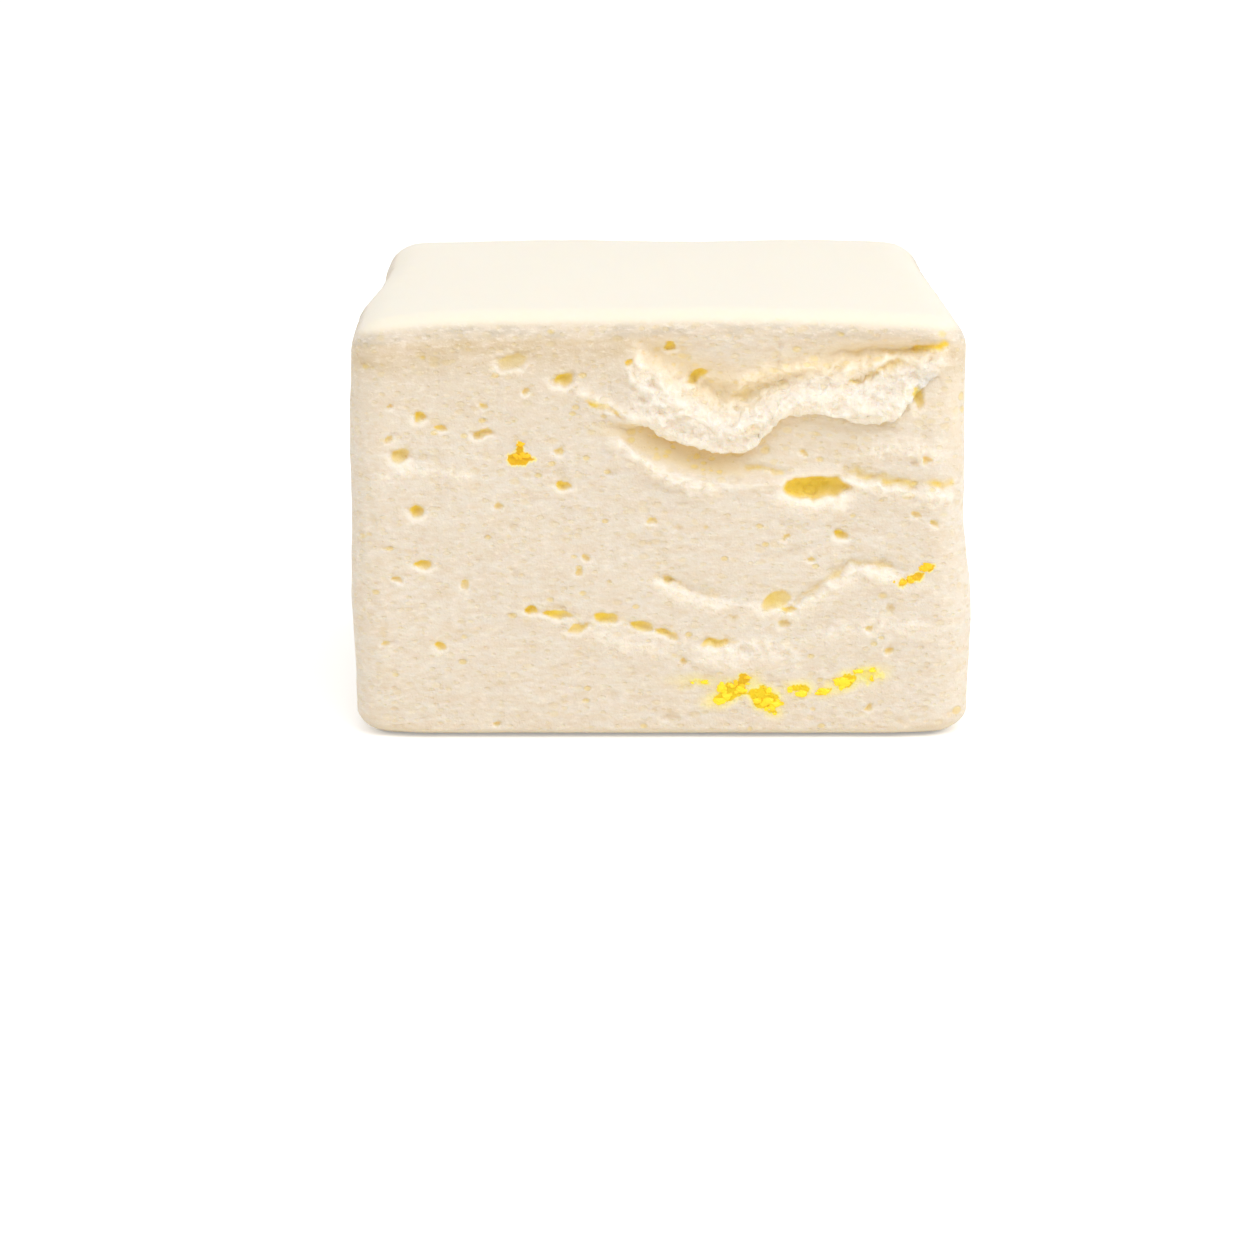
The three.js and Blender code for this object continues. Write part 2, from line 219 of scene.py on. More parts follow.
@dataclass(frozen=True)
class BubbleField:
    """Round bubbles through the whole foam, at most one in each cell of a jittered grid."""

    spacing: float
    least: float  # radius
    most: float
    share: float  # of the cells that hold a bubble
    flatness: float  # height as a share of width
    salt: int

    def depth(self, points: Array, inward: Array) -> Array:
        """How far each point of a cut falls into the bubbles that the cut opened.

        Args:
            points: places on the cut.
            inward: unit directions into the foam.

        Returns:
            The depth along the way in, 0 where there is no bubble.
        """
        scale = np.array([1.0, 1.0, self.flatness])
        place, way = points / scale, inward / scale
        cell = np.floor(place / self.spacing)
        length2 = np.einsum("ij,ij->i", way, way)
        deepest = np.zeros(len(points))
        for step in np.ndindex(3, 3, 3):
            near = cell + np.array(step) - 1
            draw = three_shares(cell_bits(near, self.salt))
            middle = (near + 0.2 + 0.6 * draw) * self.spacing
            size = three_shares(cell_bits(near, self.salt + 7))
            radius = np.where(size[:, 0] < self.share, mix(self.least, self.most, size[:, 1] ** 2), 0)
            off = place - middle
            along = np.einsum("ij,ij->i", off, way)
            outside = np.einsum("ij,ij->i", off, off) - radius**2
            root = np.sqrt(np.maximum(along**2 - length2 * outside, 0.0))
            deepest = np.maximum(deepest, np.where(outside < 0, (root - along) / length2, 0))
        return deepest


# ---- A closed mesh with edges as long as each place asks for -----------------------------------
def box_surface(lines: Sequence[Array]) -> tuple[Array, Array]:
    """The surface of a box that is ruled by grid lines.

    Args:
        lines: the places of the grid lines along X, Y and Z.

    Returns:
        The surface's points, and its triangles, facing out, as rows of three point numbers.
    """
    counts = np.array([len(line) - 1 for line in lines])
    quads = []
    for axis in range(3):
        a, b = (axis + 1) % 3, (axis + 2) % 3
        ia, ib = (g.ravel() for g in np.meshgrid(np.arange(counts[a]), np.arange(counts[b])))
        for level, turn in ((0, -1), (counts[axis], 1)):
            quad = np.full((len(ia), 4, 3), level)
            for corner, (da, db) in enumerate(((0, 0), (1, 0), (1, 1), (0, 1))[::turn]):
                quad[:, corner, a] = ia + da
                quad[:, corner, b] = ib + db
            quads.append(quad)
    places, numbers = np.unique(np.concatenate(quads).reshape(-1, 3), axis=0, return_inverse=True)
    numbers = numbers.reshape(-1, 4)
    points = np.stack([lines[axis][places[:, axis]] for axis in range(3)], axis=1)
    return points, np.concatenate([numbers[:, [0, 1, 2]], numbers[:, [0, 2, 3]]])


@dataclass
class Refinement:
    """Halves the edges of a closed mesh until each is as short as its place asks for."""

    place: Callable[[Array], Array]  # takes the meshed points to where they lie in space
    wanted: Callable[[Array, Array], Array]  # the edge length wanted at meshed points and places
    slack: float = 1.4  # how many times its wanted length an edge may have
    rounds: int = 12

    def run(self, points: Array, faces: Array) -> tuple[Array, Array]:
        """Refines a mesh.

        Args:
            points: the mesh's points.
            faces: its triangles.

        Returns:
            The refined mesh's points and triangles.
        """
        for _ in range(self.rounds):
            where = self.place(points)
            sides = np.stack([faces, np.roll(faces, -1, axis=1)], axis=2)
            keys = np.sort(sides, axis=2).reshape(-1, 2)
            codes, edges = np.unique(keys[:, 0] * len(points) + keys[:, 1], return_inverse=True)
            ends = np.stack([codes // len(points), codes % len(points)], axis=1)
            lengths = np.linalg.norm(where[ends[:, 0]] - where[ends[:, 1]], axis=1)
            middles = points[ends].mean(axis=1)
            marked = lengths > self.slack * self.wanted(middles, where[ends].mean(axis=1))
            if not marked.any():
                return points, faces
            edges = edges.reshape(-1, 3)
            longest = lengths[edges].argmax(axis=1)
            order = (longest[:, None] + np.arange(3)) % 3
            faces = np.take_along_axis(faces, order, axis=1)
            edges = np.take_along_axis(edges, order, axis=1)
            self._close(marked, edges)
            numbers = np.full(len(codes), -1)
            numbers[marked] = len(points) + np.arange(marked.sum())
            points = np.concatenate([points, middles[marked]])
            faces = self._split(faces, numbers[edges])
        return points, faces

    @staticmethod
    def _close(marked: Array, edges: Array) -> None:
        """Marks the longest side of every triangle with a marked side, until nothing changes.

        Args:
            marked: whether each edge is to be halved, changed in place.
            edges: the numbers of each triangle's edges, the longest first.
        """
        while True:
            firsts = edges[marked[edges].any(axis=1), 0]
            if marked[firsts].all():
                return
            marked[firsts] = True

    @staticmethod
    def _split(faces: Array, middles: Array) -> Array:
        """Splits triangles at the middle of their first side, and each half at its outer side.

        Args:
            faces: the triangles, longest side first.
            middles: the numbers of the points in the middle of their sides, or -1.

        Returns:
            The new triangles.
        """
        a, b, c = faces.T
        ab, bc, ca = middles.T
        whole, left, right = ab < 0, (ab >= 0) & (ca < 0), (ab >= 0) & (bc < 0)
        left_split, right_split = ca >= 0, bc >= 0
        made = (
            (whole, (a, b, c)),
            (left, (a, ab, c)),
            (left_split, (a, ab, ca)),
            (left_split, (ca, ab, c)),
            (right, (ab, b, c)),
            (right_split, (ab, b, bc)),
            (right_split, (ab, bc, c)),
        )
        return np.concatenate([np.stack(corners, axis=1)[which] for which, corners in made])


def blurred(values: Array, faces: Array, rounds: int) -> Array:
    """Values on a mesh's points after some rounds of half mixing with their neighbours' mean.

    Args:
        values: one row for each point.
        faces: the mesh's triangles.
        rounds: how often to mix.

    Returns:
        The mixed values, one row for each point.
    """
    ends = np.concatenate([faces, np.roll(faces, 1, axis=1)]).ravel()
    others = np.concatenate([np.roll(faces, -1, axis=1), faces]).ravel()
    size = len(values)
    count = np.bincount(ends, minlength=size)[:, None]
    for _ in range(rounds):
        total = [np.bincount(ends, column[others], size) for column in values.T]
        values = 0.5 * values + 0.5 * np.stack(total, axis=1) / count
    return values


def new_mesh(name: str, points: Array, faces: Array) -> bpy.types.Object:
    """Makes a smooth-shaded object from millimetre points.

    Args:
        name: the object's name.
        points: places in millimetres.
        faces: triangles, as rows of three point numbers.

    Returns:
        The linked object.
    """
    mesh = bpy.data.meshes.new(name)
    mesh.vertices.add(len(points))
    mesh.vertices.foreach_set("co", (points * MM).astype(np.float32).ravel())
    mesh.loops.add(faces.size)
    mesh.loops.foreach_set("vertex_index", faces.astype(np.int32).ravel())
    mesh.polygons.add(len(faces))
    mesh.polygons.foreach_set("loop_start", np.arange(0, faces.size, 3, dtype=np.int32))
    mesh.update(calc_edges=True)
    mesh.shade_smooth()
    piece = bpy.data.objects.new(name, mesh)
    bpy.context.scene.collection.objects.link(piece)
    return piece


def paint(piece: bpy.types.Object, name: str, values: Array) -> None:
    """Stores one number for each point of a piece, for its material to read."""
    made = piece.data.attributes.new(name, "FLOAT", "POINT")
    made.data.foreach_set("value", values.astype(np.float32))


# ---- The torn front ---------------------------------------------------------------------------
@dataclass(frozen=True)
class Fold:
    """A ridge or a crease that runs across the front along a line."""

    line: HeightLine
    rise: float  # how far it stands out, negative for a crease
    above: float  # its half width above the line
    below: float
    golden_shade: float = 0.0
    fade: float = 0.7  # half the length over which its ends fade

    def share(self, x: Array, z: Array) -> Array:
        """How much of the fold there is.

        Args:
            x: places along the front.
            z: their heights.

        Returns:
            Shares from 0 to 1, 1 along the fold's line.
        """
        first, last = self.line.points[0][0], self.line.points[-1][0]
        there = between(x, first, last, self.fade)
        away = z - self.line.at(x)
        return there * np.exp(-((away / np.where(away > 0, self.above, self.below)) ** 2))


def fold(rise: float, above: float, below: float, golden_shade: float, *points: tuple[float, float],
         fade: float = 0.7) -> Fold:
    """A fold through points, given as its height, half widths and painted gold shade."""
    return Fold(HeightLine(points), rise, above, below, golden_shade, fade)


RIDGES = (
    # the tongue, which comes down from the left and curls up at its right end
    fold(0.75, 0.75, 0.95, 0, (-1.5, 24.3), (-0.3, 23.4), (0.9, 22.0), (2.6, 20.5), (4.6, 20.0),
         (6.0, 20.7), (7.0, 21.3)),
    # the upper and the lower roll of the curtain's right part
    fold(0.42, 0.5, 0.8, 0, (4.4, 22.3), (6.4, 22.9), (8.3, 23.3), (12.0, 23.7), (15.6, 24.3),
         (17.6, 25.0), fade=0.9),
    fold(0.35, 0.7, 0.6, 0, (7.0, 21.4), (9.5, 21.5), (11.5, 21.0), (13.2, 20.9), (14.8, 21.4),
         (15.8, 22.6)),
    # the small flap beside the tongue
    fold(0.45, 0.5, 0.45, 0, (-4.8, 21.9), (-3.4, 21.2), (-2.1, 20.6), (-0.8, 20.3), (0.6, 20.2)),
    fold(0.3, 0.6, 0.5, 0, (-2.4, 23.6), (-1.2, 22.6), (0.0, 21.6), (1.0, 20.8)),
    # the rims of the shelf
    fold(0.28, 0.35, 0.7, 0, (-2.8, 18.9), (-1.6, 18.1), (-0.2, 17.2), (1.2, 16.5), (3.6, 15.8)),
    fold(0.25, 0.3, 0.8, 0, (11.9, 16.5), (14.0, 16.1), (16.0, 15.7), (18.6, 15.7)),
    fold(0.22, 0.5, 0.6, 0, (7.4, 15.0), (9.6, 14.75), (11.8, 15.2)),
    fold(0.3, 0.7, 0.5, 0, (12.6, 18.2), (15.2, 18.5), (17.4, 18.0), fade=1.2),
    # the lower folds
    fold(0.13, 0.35, 0.8, 0, (-0.2, 10.0), (1.2, 9.5), (2.6, 8.9), (4.2, 8.8)),
    fold(0.22, 0.35, 0.9, 0, (8.3, 8.2), (9.4, 8.9), (10.4, 9.8), (11.4, 10.5), (12.6, 10.8),
         (14.0, 10.6), (15.0, 10.2)),
    fold(0.12, 0.4, 0.8, 0, (9.0, 6.4), (11.4, 7.1), (13.6, 7.4), (16.6, 7.2), fade=1.2),
    fold(0.1, 0.4, 0.7, 0, (-4.2, 6.6), (-2.0, 6.2), (0.6, 5.6), fade=1.0),
    fold(0.1, 0.4, 0.7, 0, (-17.0, 17.0), (-14.2, 17.2), (-11.4, 16.6), fade=1.2),
    fold(0.12, 0.5, 0.9, 0, (2.4, 5.3), (4.4, 5.9), (7.0, 6.0), (8.6, 5.4), fade=1.0),
)
# creases; the fourth number is the painted gold shade along each
CREASES = (
    fold(-0.3, 0.3, 0.2, 0.45, (10.6, 24.3), (12.6, 24.55), (14.6, 24.7), (16.0, 24.9)),
    fold(-0.5, 0.4, 0.25, 1.25, (15.6, 24.85), (16.4, 25.0), (17.2, 25.2), (18.0, 25.5), fade=0.4),
    fold(-0.5, 0.6, 0.5, 0.35, (1.9, 22.8), (3.4, 21.9), (5.2, 21.7), (6.8, 22.1), (8.4, 22.3)),
    fold(-0.25, 0.25, 0.2, 0.8, (5.2, 17.4), (6.4, 17.25), (8.0, 17.0), fade=0.5),
    fold(-0.35, 0.4, 0.2, 0.75, (11.4, 17.2), (12.6, 16.9), (14.0, 16.6), (16.0, 16.35),
         (18.8, 16.3)),
    fold(-0.25, 0.3, 0.2, 0.45, (-0.5, 10.4), (1.0, 10.0), (2.5, 9.3), (4.1, 9.2)),
    fold(-0.35, 0.4, 0.22, 0.5, (8.2, 8.7), (9.4, 9.5), (10.6, 10.5), (12.0, 11.2), (13.4, 11.2),
         (14.8, 10.7)),
    fold(-0.18, 0.2, 0.2, 0.4, (-14.8, 20.5), (-13.2, 19.95), (-11.8, 19.7), (-10.2, 19.4)),
    fold(-0.35, 0.3, 0.22, 0.6, (11.8, 22.6), (13.2, 23.1), (14.4, 23.8), (15.2, 24.0), fade=0.5),
    fold(-0.25, 0.25, 0.2, 0.3, (8.8, 22.4), (10.4, 22.5), (12.0, 22.2), fade=0.5),
    fold(-0.35, 0.3, 0.2, 0.75, (-4.6, 21.5), (-3.3, 21.1), (-2.1, 20.4), fade=0.5),
    fold(-0.12, 0.2, 0.2, 0.4, (-8.4, 8.4), (-6.2, 7.9), (-4.4, 7.4), (-2.6, 7.75), (-0.8, 7.25),
         (1.0, 6.6)),
    fold(-0.2, 0.2, 0.15, 0.4, (2.6, 6.3), (3.8, 6.25), (5.2, 6.3), fade=0.5),
    fold(-0.2, 0.3, 0.2, 0.2, (6.2, 11.7), (8.6, 12.1), (10.6, 12.9)),
    fold(-0.2, 0.3, 0.2, 0.2, (-17.0, 18.6), (-15.4, 18.1), (-13.6, 18.0)),
)


@dataclass(frozen=True)
class Bubble:
    """A bubble that a cut opened, as an oval on the cut."""

    along: float  # its middle along the side and up it
    up: float
    half_width: float
    half_height: float
    depth: float
    slant: float = 0.0
    golden_shade: float = 1.0  # how strong the painted gold shade inside it is
    crisp: float = 0.0  # 1 where its walls stand steep on a sharp rim

    def reach(self, along: Array, up: Array) -> Array:
        """How far places are from the bubble's middle: 0 there, 1 on its rim."""
        a = along - self.along
        return np.hypot(a / self.half_width, (up - self.up - self.slant * a) / self.half_height)


SLOT_HOLE = Bubble(9.8, 16.1, 2.1, 0.72, 1.4, 0.03, 1.2, 1.0)
STEP_POCKETS = (
    Bubble(7.3, 8.9, 1.0, 0.62, 0.5, 0.3, 0.75, 0.5),
    Bubble(8.1, 8.35, 0.75, 0.3, 0.4, 0.0, 0.8, 0.3),
    Bubble(7.85, 7.4, 0.42, 0.3, 0.35, 0.0, 0.5),
)
NOTCH = Bubble(2.5, 22.9, 0.75, 0.45, 0.55, 0.55, 1.2, 0.3)
CURTAIN_CORNER = Bubble(16.0, 21.9, 0.42, 0.95, 0.4, 0.2, 0.85)
FRONT_BUBBLES = (
    Bubble(-5.8, 22.9, 0.85, 0.6, 0.8, 0.1),
    Bubble(-8.9, 24.0, 1.2, 0.6, 0.4, 0.2, 0.4),
    Bubble(-14.6, 20.6, 0.55, 0.42, 0.5),
    Bubble(-13.3, 19.9, 0.45, 0.3, 0.35, -0.3, 0.8),
    Bubble(-10.7, 19.5, 0.7, 0.35, 0.4, 0.2, 0.7),
    Bubble(-15.7, 18.2, 0.75, 0.5, 0.45, 0.2, 0.7),
    Bubble(-14.8, 14.7, 0.62, 0.55, 0.7, -0.2),
    Bubble(-5.8, 16.2, 0.62, 0.34, 0.5, -0.15),
    Bubble(-14.6, 11.2, 0.75, 0.38, 0.5, -0.1),
    Bubble(11.3, 13.1, 0.65, 0.36, 0.5, -0.1),
    Bubble(-13.6, 6.0, 0.45, 0.36, 0.4, -0.2),
    Bubble(0.8, 24.8, 0.45, 0.4, 0.5, 0.0, 1.1),
    Bubble(-1.7, 23.9, 0.3, 0.26, 0.3),
    Bubble(0.6, 10.2, 0.55, 0.3, 0.4, -0.1, 0.6),
)
SMALL_BUBBLE_PLACES = (
    (-16.2, 10.3), (-16.9, 6.1), (1.6, 5.0), (-10.1, 1.0), (-16.4, 21.4), (-10.7, 21.2),
    (-6.1, 18.3), (-8.1, 22.1), (17.1, 13.9), (-16.4, 19.3), (-9.9, 15.0), (-0.3, 13.9),
    (7.9, 13.0), (9.4, 11.5), (15.9, 14.4), (14.1, 5.7), (12.9, 7.2), (-4.4, 11.6), (-4.8, 10.8),
    (9.0, 18.2), (16.5, 18.0), (13.1, 2.0), (-12.0, 9.9),
)
SMALL_BUBBLES = tuple(Bubble(x, z, 0.34, 0.26, 0.3, 0.0, 0.6) for x, z in SMALL_BUBBLE_PLACES)

# the narrow cavities that a crease left in a row across the front
CAVITIES = (
    Bubble(-7.85, 8.3, 0.62, 0.34, 0.4, 0.0, 1.2, 0.4),
    Bubble(-6.2, 8.0, 1.15, 0.33, 0.32, -0.1, 1.0, 0.3),
    Bubble(-4.9, 7.15, 0.8, 0.32, 0.25, 0.25, 0.75, 0.2),
    Bubble(-3.1, 7.85, 0.9, 0.42, 0.35, -0.1, 1.0, 0.4),
    Bubble(-0.95, 7.3, 0.85, 0.44, 0.35, -0.2, 0.9, 0.4),
    Bubble(0.6, 6.75, 0.95, 0.32, 0.3, -0.25, 0.8, 0.3),
    Bubble(3.6, 6.2, 1.1, 0.34, 0.3, 0.15, 0.85, 0.3),
)


@dataclass(frozen=True)
class LemonPocket:
    """A pocket of lemon granules in the front, as an oval."""

    x: float
    z: float
    half_width: float
    half_height: float
    slant: float
    strength: float = 1.0
    ripe: float = 0.0  # 1 where the crumbs are deep, dry and do not stain the foam round them

    def reach(self, x: Array, z: Array) -> Array:
        """How far places are from the pocket's middle: 0 there, 1 on its rim."""
        a = x - self.x
        return np.hypot(a / self.half_width, (z - self.z - self.slant * a) / self.half_height)


LEMON_POCKETS = (
    LemonPocket(-8.45, 17.9, 0.75, 0.34, 0.0, 1.0, 1.0),
    LemonPocket(-8.55, 18.35, 0.32, 0.45, 0.0, 1.0, 1.0),
    LemonPocket(15.4, 10.35, 0.75, 0.34, 0.35, 1.0, 0.8),
    LemonPocket(16.65, 11.0, 0.25, 0.16, 0.5, 1.0, 0.8),
    LemonPocket(5.4, 3.8, 0.4, 0.4, 0.3, 1.0, 0.7),
    LemonPocket(4.6, 3.1, 1.1, 0.55, 0.4),
    LemonPocket(2.7, 3.75, 0.7, 0.16, 0.0, 0.6),
    LemonPocket(6.7, 2.65, 0.85, 0.7, -0.3, 0.95),
    LemonPocket(7.2, 1.8, 0.3, 0.25, 0.0, 0.9),
    LemonPocket(8.8, 3.3, 0.5, 0.32, 0.0, 0.85),
    LemonPocket(10.6, 3.2, 0.32, 0.26, 0.5, 0.85),
    LemonPocket(11.7, 3.75, 0.6, 0.42, 0.3, 0.95),
    LemonPocket(13.0, 4.15, 0.75, 0.4, 0.1, 0.6),
)


@dataclass(frozen=True)
class FrontTears:
    """The curtain, the hollow under it, the tongue and the lower tear, over x and mesh row.

    The mesh's rows count up the block from the base. On the front some of them follow the
    tears, and the rows between ROOF and LIP make the underside of the curtain's lip.
    """

    LOWER: float = 3.0
    SHELF: float = 5.0
    ROOF: float = 5.6
    LIP: float = 6.0
    CREASE: float = 7.0

    upper_crease: HeightLine = HeightLine((
        (-2.4, 24.6), (-0.2, 24.4), (1.5, 23.5), (3.0, 22.3), (4.9, 21.8),
        (6.8, 22.6), (8.9, 23.3), (12.0, 24.1), (17.6, 24.9),
    ))
    lip: HeightLine = HeightLine((
        (-2.4, 20.2), (-0.6, 20.0), (0.4, 19.4), (2.6, 18.7), (4.5, 18.4), (5.9, 18.8), (6.9, 19.7),
        (7.6, 20.6), (8.6, 20.8), (9.6, 21.0), (10.8, 20.7), (12.7, 20.3), (14.5, 20.7),
        (15.8, 22.2), (17.4, 24.0),
    ))
    shelf: HeightLine = HeightLine((
        (-2.4, 19.2), (-1.2, 18.1), (0.4, 17.2), (2.6, 16.5), (6.0, 16.3), (12.0, 16.5),
        (18.6, 16.2),
    ))
    lower_step: HeightLine = HeightLine((
        (-0.6, 10.6), (1.4, 9.6), (3.6, 8.9), (6.4, 8.6), (8.6, 8.7), (10.2, 9.5), (12.6, 10.6),
        (14.2, 10.9), (16.6, 10.0),
    ))
    hollow_depth: HeightLine = HeightLine((
        (-3.4, 0.0), (-1.0, 0.7), (1.5, 1.1), (4.7, 1.15), (8.5, 0.75), (13.0, 0.45), (19.0, 0.25),
    ))

    top: float = 27.0
    left: float = -1.0
    right: float = 17.6
    crest_end: float = 15.4
    crest: float = 0.3
    recess: float = 1.1
    full_height: float = 2.4  # the curtain's height from which its recess has its full depth
    tuck: float = 0.5  # how far the hollow's roof runs up behind the lip
    bead: float = 0.2  # how far the lip's rounded edge hangs
    shelf_crest: float = 0.15
    shelf_fall: float = 1.1
    step_left: float = 0.2
    step_right: float = 16.4
    step: float = 0.05
    step_rise: float = 1.1
    step_fall: float = 1.5
    bulge: Bubble = Bubble(4.6, 4.9, 3.4, 1.3, 0.35)

    def there(self, x: Array) -> Array:
        """Share of the curtain that there is at x."""
        return between(x, self.left, self.right, 1.2)

    def height(self, x: Array, row: Array, straight: Array) -> Array:
        """Heights of rows between the shelf and the lip, where the lip overhangs.

        Args:
            x: places along the front.
            row: mesh rows.
            straight: the rows' heights where nothing overhangs.

        Returns:
            The heights, with those outside the overhang left as they are.
        """
        lip, shelf, there = self.lip.at(x), self.shelf.at(x), self.there(x)
        up = (row - self.SHELF) / (self.ROOF - self.SHELF)
        face = mix(shelf, lip + self.tuck, np.clip(up, 0, 1))
        back = np.clip((self.LIP - row) / (self.LIP - self.ROOF), 0, 1)
        under = lip + self.tuck * back**1.5 - self.bead * np.sin(np.pi * np.sqrt(back))
        hung = np.where(row < self.ROOF, face, under)
        return np.where((row > self.SHELF) & (row < self.LIP), mix(straight, hung, there), straight)

    def relief(self, x: Array, row: Array, z: Array) -> Array:
        """How far the front stands out at places on it.

        Args:
            x: places along the front.
            row: mesh rows there.
            z: heights there.

        Returns:
            The relief, positive outwards.
        """
        upper, lip, shelf = self.upper_crease.at(x), self.lip.at(x), self.shelf.at(x)
        there = self.there(x)
        recess = self.recess * there * np.clip((upper - lip) / self.full_height, 0, 1)
        crest = self.crest * between(x, self.left, self.crest_end, 1.2)
        above = -recess * smooth((self.top - z - 0.6) / (self.top - upper - 0.6), 0, 1)
        curtain = mix(-recess, crest, smooth(self.CREASE - row, 0.0, 0.8))
        hollow = -self.hollow_depth.at(x)
        back = np.clip((self.LIP - row) / (self.LIP - self.ROOF), 0, 1)
        under = mix(crest, hollow, back)
        up = np.clip((row - self.SHELF) / (self.ROOF - self.SHELF), 0, 1)
        face = mix(self.shelf_crest * there, hollow, up**0.8)
        below = self.shelf_crest * there * np.exp((z - shelf) / self.shelf_fall)
        torn = np.select(
            [row >= self.CREASE, row >= self.LIP, row >= self.ROOF, row >= self.SHELF],
            [above, curtain, under, face],
            below,
        )
        return torn + self._lower_step(x, row, z) + self._bulge(x, z)

    def _lower_step(self, x: Array, row: Array, z: Array) -> Array:
        """The lower tear, where the foam under a slanting line stands proud of that above it.

        Args:
            x: places along the front.
            row: mesh rows there.
            z: heights there.

        Returns:
            The relief, positive outwards.
        """
        above = z - self.lower_step.at(x)
        there = self.step * between(x, self.step_left, self.step_right, 1.4)
        high = -np.exp(-np.maximum(above, 0) / self.step_rise)
        low = np.exp(np.minimum(above, 0) / self.step_fall)
        return there * mix(low, high, smooth(row, self.LOWER, self.LOWER + 0.06))

    def _bulge(self, x: Array, z: Array) -> Array:
        """The soft swelling over the lemon pockets."""
        reach = self.bulge.reach(x, z)
        return self.bulge.depth * np.exp(-2 * reach**2)

    def torn_share(self, x: Array, row: Array, z: Array) -> Array:
        """How freshly torn the foam is, most of all on the curtain; painted brighter, partly as highlight.

        Args:
            x: places along the front.
            row: mesh rows there.
            z: heights there.

        Returns:
            Shares from 0 to 1.
        """
        rows = between(row, self.LIP - 0.15, self.CREASE - 0.1, 0.18)
        curtain = between(x, self.left - 0.6, self.right - 0.4, 0.8) * rows
        ledge = smooth(z - self.lower_step.at(x), -1.4, -0.1) * (1 - smooth(row, 3.0, 3.1))
        ledge *= between(x, self.step_left, self.step_right, 1.2)
        bulge = np.exp(-2 * self.bulge.reach(x, z) ** 2)
        return np.clip(curtain + 0.5 * ledge + 0.4 * bulge, 0, 1)

    def hollow_shade_share(self, x: Array, row: Array) -> Array:
        """How deep in the curtain's hollow or in its crease a place is, where shade is painted.

        Args:
            x: places along the front.
            row: mesh rows there.

        Returns:
            Shares from 0 to 1.
        """
        up = between(row, self.SHELF + 0.1, self.LIP - 0.1, 0.1)
        hollow = np.clip(self.hollow_depth.at(x + 1.2), 0, 1) * up
        crease = between(row, self.CREASE - 0.25, self.CREASE + 0.3, 0.25)
        hollow *= 1 - 0.75 * smooth(x, 3.4, 7.0)
        return np.maximum(hollow, 0.55 * crease * self.there(x))

    def deep_share(self, x: Array, row: Array) -> Array:
        """How far under the lip or in the crease a place is: little light comes in, so a glow is painted.

        Args:
            x: places along the front.
            row: mesh rows there.

        Returns:
            Shares from 0 to 1.
        """
        up = between(row, self.SHELF + 0.4, self.LIP - 0.05, 0.16)
        crease = between(row, self.CREASE - 0.2, self.CREASE + 0.35, 0.3) * self.there(x)
        return np.maximum(np.clip(self.hollow_depth.at(x), 0, 1) * up, 0.6 * crease)


# ---- The block --------------------------------------------------------------------------------
@dataclass(frozen=True)
class Scatter:
    """Bubbles that the cuts opened at random in the three sides that did not tear."""

    count: int = 9
    least: float = 0.6
    most: float = 1.7
    fineness: float = 2.2
    flatness: float = 0.6
    depth: float = 0.75
    slant: float = 0.3
    margin: float = 4.0
    seed: int = 41

    def bubbles(self, half_length: float, height: float, side: int) -> tuple[Bubble, ...]:
        """The bubbles of one side.

        Args:
            half_length: half the side's length.
            height: the side's height.
            side: the side's number, which makes its draw its own.

        Returns:
            The bubbles, in the order that they are drawn.
        """
        draw = seeded_draw(self.seed + side)
        room = half_length - self.margin
        made = []
        for _ in range(self.count):
            half_width = mix(self.least, self.most, next(draw) ** self.fineness)
            along = mix(-room, room, next(draw))
            up = mix(self.margin, height - self.margin, next(draw))
            half_height = half_width * mix(self.flatness, 1.0, next(draw))
            slant = mix(-self.slant, self.slant, next(draw))
            made.append(Bubble(along, up, half_width, half_height, half_width * self.depth, slant))
        return tuple(made)


